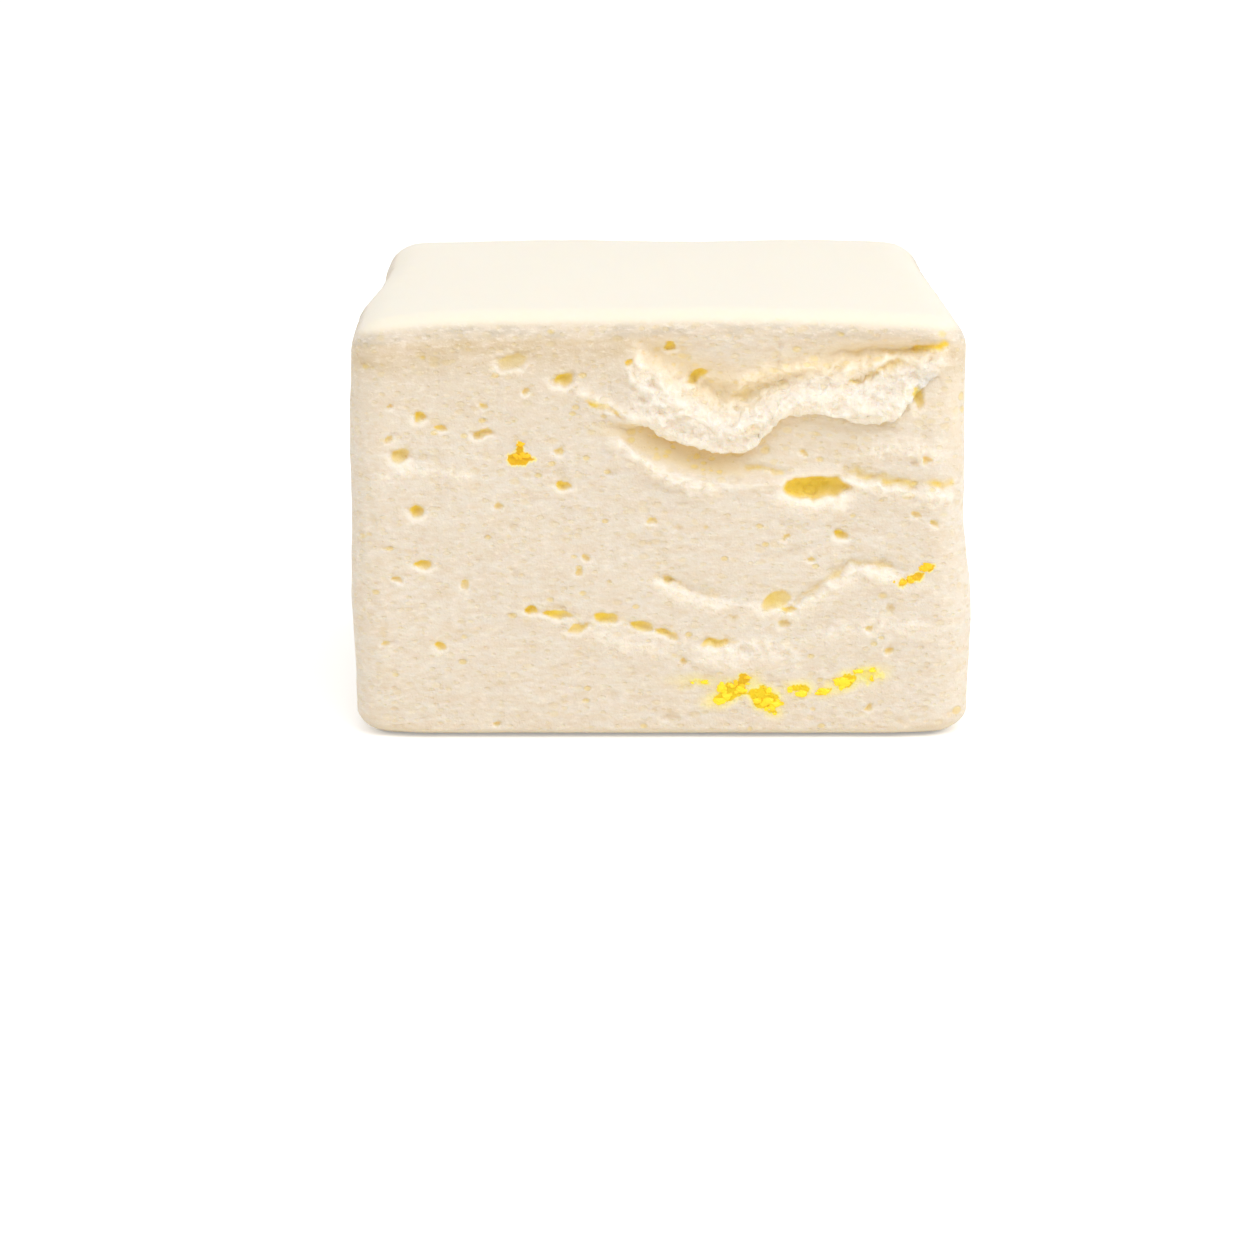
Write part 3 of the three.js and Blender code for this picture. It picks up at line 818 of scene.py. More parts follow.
@dataclass(frozen=True)
class FoamSurface:
    """The foam's small relief: fine pores, crumb, ragged lips and the skins' dust."""

    rim_shifts: tuple[FoamNoise, ...] = (
        FoamNoise(0.9, 2, 11, strength=0.3), FoamNoise(0.9, 2, 23, strength=0.3),
    )
    fine_pores: BubbleField = BubbleField(0.8, 0.14, 0.32, 0.35, 0.5, 31)
    fine_depth: float = 0.35  # how much of the fine pores' depth shows
    pores: BubbleField = BubbleField(1.7, 0.25, 0.55, 0.2, 0.6, 37)
    front_depth: float = 0.3  # how much of the larger pores' depth shows on the front
    crumb: tuple[FoamNoise, ...] = (
        FoamNoise(2.6, 2, 41, 0.5, 0.08), FoamNoise(0.6, 2, 43, 0.6, 0.04),
    )
    torn_crumb: tuple[FoamNoise, ...] = (
        FoamNoise(1.0, 2, 47, 0.8, 0.17), FoamNoise(0.42, 2, 48, strength=0.12),
    )
    rag_salts: tuple[int, ...] = (53, 59, 61)
    rag: float = 0.3
    fine_rag: float = 0.14
    dust: FoamNoise = FoamNoise(3.5, 2, 67, strength=0.03)
    # breaks up the painted gold shade along the creases
    gold_shade_patches: FoamNoise = FoamNoise(1.3, 2, 71, strength=0.9)
    fold_breaks: FoamNoise = FoamNoise(1.6, 2, 73, strength=0.6)
    lemon_crumbs: FoamNoise = FoamNoise(0.7, 3, 79, strength=0.7)

    def wobble(self, place: Array) -> Array:
        """Small shifts along and up a side, which make the bubbles' rims uneven.

        Args:
            place: places on the block.

        Returns:
            A shift along and a shift up for each.
        """
        return np.stack([noise.at(place) for noise in self.rim_shifts], axis=1)

    def pore_depth(self, place: Array, inward: Array, front: Array) -> Array:
        """The fine bubbles all through the foam.

        Args:
            place: places on the block.
            inward: unit directions into it.
            front: how much each place lies on the front, where no larger pores opened.

        Returns:
            Their depth at each place.
        """
        fine = self.fine_depth * self.fine_pores.depth(place, inward)
        larger = self.pores.depth(place, inward)
        return np.maximum(fine, larger * mix(1.0, self.front_depth, front))

    def crumb_rise(self, place: Array, torn: Array) -> Array:
        """The foam's fine unevenness, rougher where it tore.

        Args:
            place: places on the block.
            torn: how freshly torn each is.

        Returns:
            The relief, positive outwards.
        """
        soft, fine = (noise.at(place) for noise in self.crumb)
        rough, rougher = (noise.at(place) for noise in self.torn_crumb)
        return soft + fine + torn * (rough + rougher)

    def ragged(self, place: Array) -> Array:
        """Shifts that make the curtain's lip ragged.

        Args:
            place: places on the block.

        Returns:
            A shift in space for each.
        """
        shifts = []
        for salt in self.rag_salts:
            coarse = FoamNoise(0.8, 3, salt, strength=self.rag)
            fine = FoamNoise(0.42, 2, salt + 1, strength=self.fine_rag)
            shifts.append(coarse.at(place) + fine.at(place))
        return np.stack(shifts, axis=1)


@dataclass(frozen=True)
class MeshGrain:
    """Edge lengths of the block's mesh."""

    pit: float = 0.115
    torn: float = 0.14
    front: float = 0.21
    cut: float = 0.55
    skin: float = 1.0
    growth: float = 0.16  # how fast the edges lengthen away from the front
    start: float = 3.4
    strips: int = 3  # strips of the starting mesh over each half of a rounded edge


class Side(Enum):
    """The block's four cut sides, as the axis that each faces along and its sign."""

    FRONT = (1, -1)
    BACK = (1, 1)
    LEFT = (0, -1)
    RIGHT = (0, 1)


@dataclass
class MarshmallowBlock:
    """The whole marshmallow, as one closed mesh."""

    width: float = 38.0
    depth: float = 36.0
    height: float = 27.0
    side_round: float = 2.3
    top_round: float = 1.9
    base_round: float = 1.6
    base_edge: float = 0.7  # the same round along the front and the back
    left_droop: float = 1.0
    right_droop: float = 0.8
    back_rise: float = 0.8  # share of the droop that is gone at the back
    back_taper: float = 0.7  # how far each side leans in at the top of the back
    back_span: tuple[float, float] = (-8.0, 10.0)  # over which it does
    droop_sharpness: float = 4.0
    foot_spread: float = 0.6
    foot_heights: tuple[float, float] = (8.0, 15.0)
    side_swell: float = 0.12
    lump: float = 0.14
    lump_length: float = 17.0
    lump_rise: float = 4.0
    rows: int = 8
    rows_bend: tuple[float, float] = (-15.6, -12.4)
    tear_wrap: float = 5.0  # how far the tears run round onto the right side
    torn_span: tuple[float, float] = (-5.0, 19.0)
    torn_heights: tuple[float, float] = (15.4, 25.4)
    relief_fade: float = 2.4
    skin_tilt: tuple[float, float] = (0.56, 0.86)  # upward share of the way out where skin starts
    brow_tilt: tuple[float, float] = (0.08, 0.4)  # the same for the painted shade on the edge under the skin
    fold_warp: float = 1.3  # how far the folds' lines wander, as a share of the rims' shifts
    pore_shade_depths: tuple[float, float] = (0.12, 0.55)  # depths between which a pore is painted with gold shade
    ridge_tear_and_highlight: float = 0.8  # how freshly torn a ridge's top is, which roughens it and paints a highlight on it
    relief_softening: int = 2  # rounds of mixing that take the relief's harshest edges off
    surroundings: int = 28  # the same for what a place's height is measured against
    tears: FrontTears = field(default_factory=FrontTears)
    scatter: Scatter = field(default_factory=Scatter)
    grain: MeshGrain = field(default_factory=MeshGrain)
    surface: FoamSurface = field(default_factory=FoamSurface)

    def __post_init__(self) -> None:
        """Works out the half sizes and gathers the front's bubbles."""
        self.half = np.array([self.width / 2, self.depth / 2])
        self.front_bubbles = (
            SLOT_HOLE, NOTCH, CURTAIN_CORNER, *STEP_POCKETS, *FRONT_BUBBLES, *SMALL_BUBBLES,
            *CAVITIES,
        )

    # -- from the meshed box to the block --
    def plain_height(self, row: Array) -> Array:
        """The height of mesh rows where no tear bends them.

        Args:
            row: mesh rows.

        Returns:
            Their heights.
        """
        inner = (self.height - self.base_round - self.top_round) / (self.rows - 2)
        high = self.height - (self.rows - row) * self.top_round
        middle = self.base_round + (row - 1) * inner
        return np.select([row <= 1, row >= self.rows - 1], [row * self.base_round, high], middle)

    def row_height(self, p: Array) -> Array:
        """The height of meshed points.

        Args:
            p: points of the meshed box, whose third number is a mesh row.

        Returns:
            Their heights.
        """
        x, row = p[:, 0], p[:, 2]
        t = self.tears
        lines = (
            np.zeros_like(x), np.full_like(x, self.base_round), t.lower_step.at(x),
            t.shelf.at(x), t.lip.at(x), t.upper_crease.at(x), np.full_like(x, self.height),
        )
        levels = (0.0, 1.0, t.LOWER, t.SHELF, t.LIP, t.CREASE, float(self.rows))
        torn = lines[0]
        for (low, high), (a, b) in zip(zip(levels, levels[1:]), zip(lines, lines[1:])):
            torn = np.where(row > low, mix(a, b, (row - low) / (high - low)), torn)
        torn = t.height(x, row, torn)
        bend = smooth(x, *self.rows_bend) * self.near_front(p)
        return mix(self.plain_height(row), torn, bend)

    def near_front(self, p: Array) -> Array:
        """1 on the front, fading to 0 round the edges."""
        return 1 - smooth(p[:, 1] + self.half[1], 0, self.tear_wrap)

    def rounded(self, p: Array) -> tuple[Array, Array]:
        """Takes points of the sharp box to the rounded one.

        Args:
            p: points of the sharp box, in millimetres.

        Returns:
            The places on the rounded box, and the unit way out at each.
        """
        inner = self.half - self.side_round
        sharp = 1 - smooth(np.abs(p[:, 0]), inner[0] - self.side_round, self.half[0])
        base = mix(self.base_round, self.base_edge, sharp)
        core = np.stack([
            np.clip(p[:, 0], -inner[0], inner[0]),
            np.clip(p[:, 1], -inner[1], inner[1]),
            np.clip(p[:, 2], base, self.height - self.top_round),
        ], axis=1)
        high = np.where(p[:, 2] > self.height / 2, self.top_round, base)
        rounds = np.stack([np.full_like(high, self.side_round)] * 2 + [high], axis=1)
        way = (p - core) / rounds
        way /= np.linalg.norm(way, axis=1, keepdims=True)
        out = way / rounds
        return core + way * rounds, out / np.linalg.norm(out, axis=1, keepdims=True)

    def slow_lump(self, p: Array) -> Array:
        """Slow waves over the whole block.

        Args:
            p: places on the block.

        Returns:
            Numbers from -1 to 1.
        """
        k = 2 * np.pi / self.lump_length
        x, y, z = p.T
        a = np.sin(k * (x + 0.6 * z) + 0.8) * np.cos(k * (0.8 * y - z) + 2.1)
        b = np.sin(k * 0.6 * (y - 0.7 * x) + 4.0) * np.cos(k * 0.9 * z + 0.5)
        return 0.6 * a + 0.4 * b

    def settled(self, p: Array) -> Array:
        """The soft set of the block: a drooping top, swelling sides and a foot that spreads.

        Args:
            p: places on the rounded box.

        Returns:
            Where they lie once the foam has set.
        """
        across = np.clip(p[:, 0] / self.half[0], -1, 1)
        back = np.clip(p[:, 1] / self.half[1], -1, 1)
        rise = np.clip(p[:, 2] / self.height, 0, 1)
        sharp = self.droop_sharpness
        droop = np.where(across < 0, self.left_droop, self.right_droop) * np.abs(across) ** sharp
        droop *= 1 - self.back_rise * (back + 1) / 2
        spread = self.foot_spread * (1 - smooth(p[:, 2], *self.foot_heights))
        taper = self.back_taper * smooth(p[:, 1], *self.back_span) * rise**3
        swell = self.side_swell * np.sin(np.pi * rise)
        uneven = self.lump * self.slow_lump(p) * smooth(p[:, 2], 0, self.lump_rise)
        return np.stack([
            p[:, 0] + across * (swell + uneven - taper) + np.maximum(across, 0) ** 3 * spread,
            p[:, 1] + back * (swell + uneven),
            p[:, 2] - droop * rise**3 + uneven * 0.5 * rise,
        ], axis=1)

    def ends(self, z: Array) -> Array:
        """Share of the relief that is left near the top and the base."""
        return smooth(z, 0, self.relief_fade) * smooth(self.height - z, 0, self.relief_fade)

    def torn_place(self, p: Array) -> tuple[Array, Array]:
        """Takes meshed points to their places on the settled block, tears included.

        Args:
            p: points of the meshed box, whose third number is a mesh row.

        Returns:
            The places, and the unit way out at each.
        """
        z = self.row_height(p)
        place, out = self.rounded(np.column_stack([p[:, :2], z]))
        relief = self.tears.relief(p[:, 0], p[:, 2], z) * self.near_front(p) * self.ends(z)
        relief *= smooth(self.half[0] - np.abs(p[:, 0]), 0, self.relief_fade)
        return self.settled(place) + out * relief[:, None], out

    # -- the mesh --
    def wanted(self, p: Array, place: Array) -> Array:
        """The edge length wanted.

        Args:
            p: points of the meshed box.
            place: where they lie on the block.

        Returns:
            One length for each point.
        """
        off = p[:, 1] + self.half[1]
        on_skin = np.minimum(p[:, 2], self.rows - p[:, 2]) <= 0
        most = np.where(on_skin, self.grain.skin, self.grain.cut)
        x, z = place[:, 0], place[:, 2]
        torn = between(x, *self.torn_span, 1.0) * between(z, *self.torn_heights, 0.8)
        near = mix(self.grain.front, self.grain.torn, torn)
        for b in self.front_bubbles:
            near = np.where((b.reach(x, z) < 1.4) & (off < 3), self.grain.pit, near)
        return np.minimum(most, near + self.grain.growth * np.maximum(off - 0.5, 0))

    def start_lines(self) -> list[Array]:
        """The grid lines that the mesh starts from.

        Returns:
            The lines' places along X, along Y and up the rows.
        """
        strip = np.arange(self.grain.strips) / self.grain.strips
        lines = []
        for half in self.half:
            inner = half - self.side_round
            count = round(2 * inner / self.grain.start)
            middle = np.linspace(-inner, inner, count + 1)
            edge = -half + strip * self.side_round
            lines.append(np.concatenate([edge, middle, -edge[::-1]]))
        middle = np.arange(1, self.rows)
        lines.append(np.concatenate([strip, middle, self.rows - strip[::-1]]))
        return lines

    def mesh(self) -> tuple[Array, Array]:
        """The meshed box: its refined points, with rows for heights, and its triangles."""
        refinement = Refinement(lambda p: self.torn_place(p)[0], self.wanted)
        return refinement.run(*box_surface(self.start_lines()))

    # -- bubbles, pores and crumb --
    def opened(self, along: Array, up: Array, bubbles: Sequence[Bubble]) -> tuple[Array, ...]:
        """What the bubbles that a cut opened do to places on it.

        Args:
            along: places along the cut.
            up: their heights.
            bubbles: the bubbles.

        Returns:
            The depth of each place, its painted gold shade, and its painted highlight on the lower rim.
        """
        depth, golden_shade, rims = (np.zeros_like(along) for _ in range(3))
        for b in bubbles:
            near = np.abs(along - b.along) < 2 * b.half_width
            near &= np.abs(up - b.up) < 2 * (b.half_height + b.half_width * abs(b.slant))
            reach = b.reach(along[near], up[near])
            fall = 0.75 * b.depth * np.maximum(1 - reach**2, 0) ** mix(1.0, 0.55, b.crisp)
            rim = 0.05 * np.exp(-(((reach - 1.15) / 0.15) ** 2))
            depth[near] = np.maximum(depth[near], fall) - rim * (fall <= 0)
            # painted gold shade, most in each bubble's shaded upper left; a painted highlight on its lower
            # rim
            edge = mix(0.84, 1.05, b.crisp)
            high = smooth((up[near] - b.up) / b.half_height, -0.9, 0.3)
            right = smooth((along[near] - b.along) / b.half_width, -0.6, 0.8)
            deep = mix(mix(0.45, 0.65, b.crisp), 1.0, high) * mix(1.05, 0.72, right)
            tint = b.golden_shade * smooth(edge - reach, 0, 0.2) * deep
            golden_shade[near] = np.maximum(golden_shade[near], tint)
            under = between(reach, edge + 0.02, edge + 0.5, 0.12) * (1 - high)
            rims[near] = np.maximum(rims[near], under)
        return depth, golden_shade, rims

    def _folds(self, x: Array, row: Array, z: Array, wobble: Array) -> tuple[Array, Array, Array]:
        """The ridges and creases of the torn front.

        Args:
            x: places along the front.
            row: mesh rows there.
            z: heights there.
            wobble: small shifts along and up.

        Returns:
            The relief, how freshly torn each place is, and the painted gold shade along a crease.
        """
        torn = self.tears.torn_share(x, row, z)
        warped = x + self.fold_warp * wobble[:, 0], z + self.fold_warp * wobble[:, 1]
        folded, crease_shade = np.zeros_like(x), np.zeros_like(x)
        over = smooth(row, self.tears.ROOF + 0.2, self.tears.LIP) + (row < self.tears.SHELF + 0.5)
        for item in (*RIDGES, *CREASES):
            share = item.share(*warped) * np.minimum(over, 1)
            folded += item.rise * share
            torn = np.maximum(torn, self.ridge_tear_and_highlight * share * (item.rise > 0))
            crease_shade = np.maximum(crease_shade, item.golden_shade * share)
        return folded, torn, crease_shade

    def _side_bubbles(self, p: Array, z: Array, wobble: Array) -> tuple[Array, ...]:
        """What the bubbles of all four sides do to meshed points.

        Args:
            p: points of the meshed box.
            z: their heights.
            wobble: small shifts along and up.

        Returns:
            The depth of each point, its painted gold shade, and its painted highlight on the lower rim.
        """
        depth, golden_shade, rims = (np.zeros(len(p)) for _ in range(3))
        for number, side in enumerate(Side):
            axis, sign = side.value
            on = np.abs(p[:, axis] - sign * self.half[axis]) < ON_SIDE
            bubbles = self.front_bubbles
            if side is not Side.FRONT:
                bubbles = self.scatter.bubbles(self.half[1 - axis], self.height, number - 1)
            along, up = p[on, 1 - axis] + wobble[on, 0], z[on] + wobble[on, 1]
            depth[on], golden_shade[on], rims[on] = self.opened(along, up, bubbles)
        return depth, golden_shade, rims

    def build(self) -> bpy.types.Object:
        """Builds the block with all its relief, and the numbers that its material reads.

        Returns:
            The linked object.
        """
        p, faces = self.mesh()
        place, out = self.torn_place(p)
        x, row, z = p[:, 0], p[:, 2], self.row_height(p)
        smooth_place = self.settled(self.rounded(np.column_stack([p[:, :2], z]))[0])
        cut = 1 - smooth(np.abs(out[:, 2]), *self.skin_tilt)
        front = self.near_front(p)
        wobble = self.surface.wobble(place)
        folded, torn, crease_shade = self._folds(x, row, z, wobble)
        torn = torn * front * cut
        folded *= front * cut * smooth(self.half[0] - np.abs(x), 0, self.relief_fade)
        depth, golden_shade, rims = self._side_bubbles(p, z, wobble)
        pores = self.surface.pore_depth(place, -out, front)
        depth = np.maximum(depth * cut, pores * cut)
        golden_shade = np.maximum(golden_shade, 0.7 * smooth(pores, *self.pore_shade_depths)) * cut
        patchy = 0.75 + self.surface.gold_shade_patches.at(place)
        golden_shade = np.maximum(golden_shade, smooth(crease_shade * patchy, 0.15, 1.0) * front * cut)
        folded *= np.clip(0.95 + self.surface.fold_breaks.at(place), 0.4, 1.4)
        crumb, dust = self.surface.crumb_rise(place, torn), self.surface.dust.at(place)
        stands = folded - depth + crumb * cut + dust * (1 - cut)
        stands = blurred(stands[:, None], faces, self.relief_softening)[:, 0]
        final = place + out * stands[:, None] + torn[:, None] * self.surface.ragged(place)
        # painted shade, darker towards the top of the cut sides
        upper_shade_share = (0.25 * smooth(z, 18.0, 23.0) + 0.75 * smooth(z, 22.6, 24.9)) * cut
        lemon, ripe = self._lemon(x + wobble[:, 0], z + wobble[:, 1], p)
        painted = {
            "cut": cut,
            # the material paints torn places brighter, partly as a highlight on what stands out
            "torn": torn,
            # painted shade in the curtain's hollow and crease
            "hollow": self.tears.hollow_shade_share(x, row) * front * cut,
            "golden_shade": golden_shade,
            # heights that the material turns into painted highlights and painted shade
            "convex": self._convex(final - smooth_place, out, faces),
            "upper_shade": upper_shade_share * (1 - self.tears.there(x) * front),
            # where the material paints a glow into the shade
            "deep": self.tears.deep_share(x, row) * front * cut,
            "brow_shade": smooth(out[:, 2], *self.brow_tilt) * cut,
            # painted highlight on the bubbles' lower rims
            "rim": rims * cut,
            "lemon": lemon,
            "ripe": ripe,
        }
        piece = new_mesh("foam_block", final, faces)
        for name, values in painted.items():
            paint(piece, name, values)
        self.front_points = final[self._on_front(p)]
        return piece

    def _on_front(self, p: Array) -> Array:
        """Whether each point of the meshed box lies on its front."""
        return np.abs(p[:, 1] + self.half[1]) < ON_SIDE

    def front_spot(self, x: float, z: float) -> Array:
        """The point of the finished front that is nearest to a place across it."""
        away = np.hypot(self.front_points[:, 0] - x, self.front_points[:, 2] - z)
        return self.front_points[away.argmin()]

    def _convex(self, relief: Array, out: Array, faces: Array) -> Array:
        """How far each point stands above the mean of its surroundings, in millimetres."""
        return np.einsum("ij,ij->i", relief - blurred(relief, faces, self.surroundings), out)

    def _lemon(self, x: Array, z: Array, p: Array) -> tuple[Array, Array]:
        """How the lemon granules have stained the front.

        Args:
            x: places along the front.
            z: their heights.
            p: the same places as points of the meshed box.

        Returns:
            How strong the stain is, and how ripe the granules.
        """
        stain, ripe = np.zeros_like(x), np.zeros_like(x)
        crumbs = self.surface.lemon_crumbs.at(np.column_stack([x, p[:, 1], z]))
        for pocket in LEMON_POCKETS:
            reach = pocket.reach(x, z)
            core = smooth(1.2 - reach + crumbs, 0, 0.3)
            away = np.maximum(reach - 1, 0) * min(pocket.half_width, pocket.half_height)
            halo = 0.34 * np.exp(-((away / 0.45) ** 2)) * (1 - pocket.ripe)
            stain = np.maximum(stain, pocket.strength * np.maximum(core, halo))
            ripe = np.maximum(ripe, pocket.ripe * smooth(1.5 - reach, 0, 0.4))
        front = self._on_front(p)
        return stain * front, ripe * front


# ---- Lemon granules ---------------------------------------------------------------------------
def ball(rounds: int) -> tuple[Array, Array]:
    """A unit ball of triangles, made from an icosahedron.

    Args:
        rounds: how often its triangles are split.

    Returns:
        The ball's points, and its triangles, facing out.
    """
    g = (1 + math.sqrt(5)) / 2
    flat = np.array([(-1, g), (1, g), (-1, -g), (1, -g)])
    points = np.concatenate([np.roll(np.column_stack([flat, np.zeros(4)]), k, axis=1) for k in range(3)])
    away = np.linalg.norm(points[:, None] - points[None], axis=2)
    near = away < 2.1
    faces = np.array([
        (i, j, k)
        for i in range(12) for j in range(i + 1, 12) for k in range(j + 1, 12)
        if near[i, j] and near[j, k] and near[i, k]
    ])
    normals = np.cross(points[faces[:, 1]] - points[faces[:, 0]], points[faces[:, 2]] - points[faces[:, 0]])
    inward = np.einsum("ij,ij->i", normals, points[faces[:, 0]]) < 0
    faces[inward] = faces[inward][:, ::-1]
    for _ in range(rounds):
        grow = Refinement(lambda p: p, lambda p, place: np.zeros(len(p)), rounds=1)
        points, faces = grow.run(points, faces)
        points = points / np.linalg.norm(points, axis=1, keepdims=True)
    return points / np.linalg.norm(points, axis=1, keepdims=True), faces


@dataclass
class LemonGranules:
    """The lemon-coloured crumbs that stick in the front's pockets."""

    block: MarshmallowBlock
    crowding: float = 8.0  # granules to a square millimetre of pocket
    least: float = 0.09
    most: float = 0.27
    sunk: float = 0.15  # how deep a granule sits, as a share of its radius
    seed: int = 97

    def build(self) -> bpy.types.Object:
        """Builds all granules as one mesh.

        Returns:
            The linked object.
        """
        draw = seeded_draw(self.seed)
        shape, corners = ball(1)
        points, faces, ripe = [], [], []
        for pocket in LEMON_POCKETS:
            area = math.pi * pocket.half_width * pocket.half_height
            for _ in range(max(3, round(self.crowding * area * pocket.strength**2))):
                faces.append(corners + len(shape) * len(points))
                points.append(self._granule(pocket, shape, draw))
                ripe.append(np.full(len(shape), pocket.ripe))
        granules = new_mesh("lemon_granules", np.concatenate(points), np.concatenate(faces))
        granules.data.shade_flat()
        paint(granules, "ripe", np.concatenate(ripe))
        return granules

    def _granule(self, pocket: LemonPocket, shape: Array, draw: Iterator[float]) -> Array:
        """The points of one granule.

        Args:
            pocket: the pocket it lies in.
            shape: a unit ball's points.
            draw: where its size and place come from.

        Returns:
            Places in millimetres.
        """
        turn, away = 2 * math.pi * next(draw), 1.05 * math.sqrt(next(draw))
        a, b = away * math.cos(turn) * pocket.half_width, away * math.sin(turn) * pocket.half_height
        radius = mix(self.least, self.most, next(draw) ** 2)
        spot = self.block.front_spot(pocket.x + a, pocket.z + b + pocket.slant * a)
        lump = 1 + 0.9 * FoamNoise(1.1, 1, int(1e6 * next(draw))).at(shape)
        stretch = np.array([mix(0.8, 1.7, next(draw)), 0.55, mix(0.7, 1.3, next(draw))])
        return spot + np.array([0, radius * self.sunk, 0]) + shape * lump[:, None] * stretch * radius


# ---- Materials --------------------------------------------------------------------------------
class NodeSheet:
    """Adds nodes to one node tree and links them."""

    def __init__(self, tree: bpy.types.NodeTree) -> None:
        """Starts a sheet.

        Args:
            tree: the node tree, which is emptied.
        """
        self.tree = tree
        tree.nodes.clear()

    def add(self, kind: str, inputs: dict | None = None, **settings: object) -> bpy.types.Node:
        """Adds one node.

        Args:
            kind: the node's type.
            inputs: values, or sockets to link, by input name or number.
            **settings: the node's own properties.

        Returns:
            The new node.
        """
        node = self.tree.nodes.new(kind)
        node.location = (180 * (len(self.tree.nodes) % 12), -220 * (len(self.tree.nodes) // 12))
        for name, value in settings.items():
            setattr(node, name, value)  # a group has its inputs only once it has its tree
        for name, value in (inputs or {}).items():
            if isinstance(value, Socket):
                self.tree.links.new(value, node.inputs[name])
            else:
                node.inputs[name].default_value = value
        return node

    def number(self, name: str) -> Socket:
        """One of the numbers painted on the piece's points."""
        return self.add("ShaderNodeAttribute", attribute_name=name).outputs["Fac"]

    def maths(self, operation: str, *values: object, clamp: bool = False) -> Socket:
        """One sum.

        Args:
            operation: what to do.
            *values: numbers or sockets.
            clamp: whether to keep the result from 0 to 1.

        Returns:
            The result's socket.
        """
        node = self.add("ShaderNodeMath", dict(enumerate(values)), operation=operation)
        node.use_clamp = clamp
        return node.outputs[0]

    def times(self, a: object, b: object) -> Socket:
        """The product of two numbers or sockets."""
        return self.maths("MULTIPLY", a, b)

    def stretched(self, place: Socket, by: tuple[float, float, float]) -> Socket:
        """Places with each axis multiplied by a number."""
        return self.add("ShaderNodeVectorMath", {0: place, 1: by}, operation="MULTIPLY").outputs[0]

    def millimetres(self) -> Socket:
        """The places on the piece, in millimetres."""
        return self.stretched(self.add("ShaderNodeTexCoord").outputs["Object"], (1 / MM,) * 3)

    def noise(self, place: Socket, scale: object, detail: float, roughness: float = 0.5) -> Socket:
        """Smooth noise.

        Args:
            place: where to read it.
            scale: how many cells there are to a millimetre, as a number or a socket.
            detail: how many finer layers it has.
            roughness: how strong each finer layer is, as a share of the one before.

        Returns:
            The noise's socket.
        """
        inputs = {"Vector": place, "Scale": scale, "Detail": detail, "Roughness": roughness}
        return self.add("ShaderNodeTexNoise", inputs).outputs["Fac"]

    def sugar(self, grain: bpy.types.NodeTree, place: Socket,
              size: float) -> bpy.types.bpy_prop_collection:
        """The sugar grain.

        Args:
            grain: the sugar grain group.
            place: places in millimetres.
            size: the grain's size in millimetres.

        Returns:
            The group's outputs, Height and Fleck.
        """
        return self.add("ShaderNodeGroup", {"Place": place, "Size": size}, node_tree=grain).outputs

    def bump(self, height: Socket, strength: float, rise: float,
             under: Socket | None = None) -> Socket:
        """Relief that only the light sees.

        Args:
            height: the relief, from 0 to 1.
            strength: how much of it shows.
            rise: how far it stands, in millimetres.
            under: the normal that it lies on, if not the mesh's own.

        Returns:
            The new normal's socket.
        """
        inputs = {"Height": height, "Strength": strength, "Distance": rise * MM}
        if under is not None:
            inputs["Normal"] = under
        return self.add("ShaderNodeBump", inputs).outputs[0]

    def span(self, value: Socket, low: float, high: float,
             to_low: float = 0.0, to_high: float = 1.0) -> Socket:
        """A smooth change over a span of a value.

        Args:
            value: the value's socket.
            low: the value where the change starts.
            high: the value where it ends.
            to_low: the result at the start.
            to_high: the result at the end.

        Returns:
            The result's socket.
        """
        inputs = {"Value": value, "From Min": low, "From Max": high, "To Min": to_low,
                  "To Max": to_high}
        node = self.add("ShaderNodeMapRange", inputs, interpolation_type="SMOOTHSTEP")
        return node.outputs[0]

    def blend(self, share: object, a: object, b: object) -> Socket:
        """A colour between two others.

        Args:
            share: how far it lies from a to b.
            a: a colour or a socket.
            b: a colour or a socket.

        Returns:
            The colour's socket.
        """
        node = self.add("ShaderNodeMix", data_type="RGBA")
        for socket, value in zip((node.inputs[0], node.inputs[6], node.inputs[7]), (share, a, b)):
            if isinstance(value, Socket):
                self.tree.links.new(value, socket)
            else:
                socket.default_value = value
        return node.outputs[2]


def new_material(name: str) -> tuple[bpy.types.Material, NodeSheet]:
    """Makes an empty material.

    Args:
        name: its name.

    Returns:
        The material, and a sheet for its nodes.
    """
    made = bpy.data.materials.new(name)
    made.use_nodes = True
    return made, NodeSheet(made.node_tree)


def linear(red: int, green: int, blue: int) -> tuple[float, float, float, float]:
    """A colour given in screen values from 0 to 255, as Blender's linear numbers."""
    parts = [c / 255 for c in (red, green, blue)]
    return (*(((c + 0.055) / 1.055) ** 2.4 if c > 0.04045 else c / 12.92 for c in parts), 1.0)


def grain_group() -> bpy.types.NodeTree:
    """The fine sugar grain that the foam and the granules share, as a node group.

    Returns:
        A group with the inputs Place, in millimetres, and Size, and the outputs Height, which
        is the grain's relief from 0 to 1, and Fleck, a mask of its highest points, for a painted highlight.
    """
    tree = bpy.data.node_groups.new("Sugar grain", "ShaderNodeTree")
    sheet = NodeSheet(tree)
    sockets = (
        ("Place", "INPUT", "NodeSocketVector"), ("Size", "INPUT", "NodeSocketFloat"),
        ("Height", "OUTPUT", "NodeSocketFloat"), ("Fleck", "OUTPUT", "NodeSocketFloat"),
    )
    for name, way, kind in sockets:
        tree.interface.new_socket(name, in_out=way, socket_type=kind)
    given = sheet.add("NodeGroupInput").outputs
    scale = sheet.maths("DIVIDE", 1.0, given["Size"])
    noise = sheet.noise(given["Place"], scale, 2.0, 0.65)
    crystals = sheet.add("ShaderNodeTexVoronoi", {"Vector": given["Place"], "Scale": scale})
    height = sheet.maths("SUBTRACT", noise, sheet.times(crystals.outputs["Distance"], 0.5))
    fleck = sheet.span(height, 0.38, 0.55)
    sheet.add("NodeGroupOutput", {"Height": height, "Fleck": fleck})
    return tree


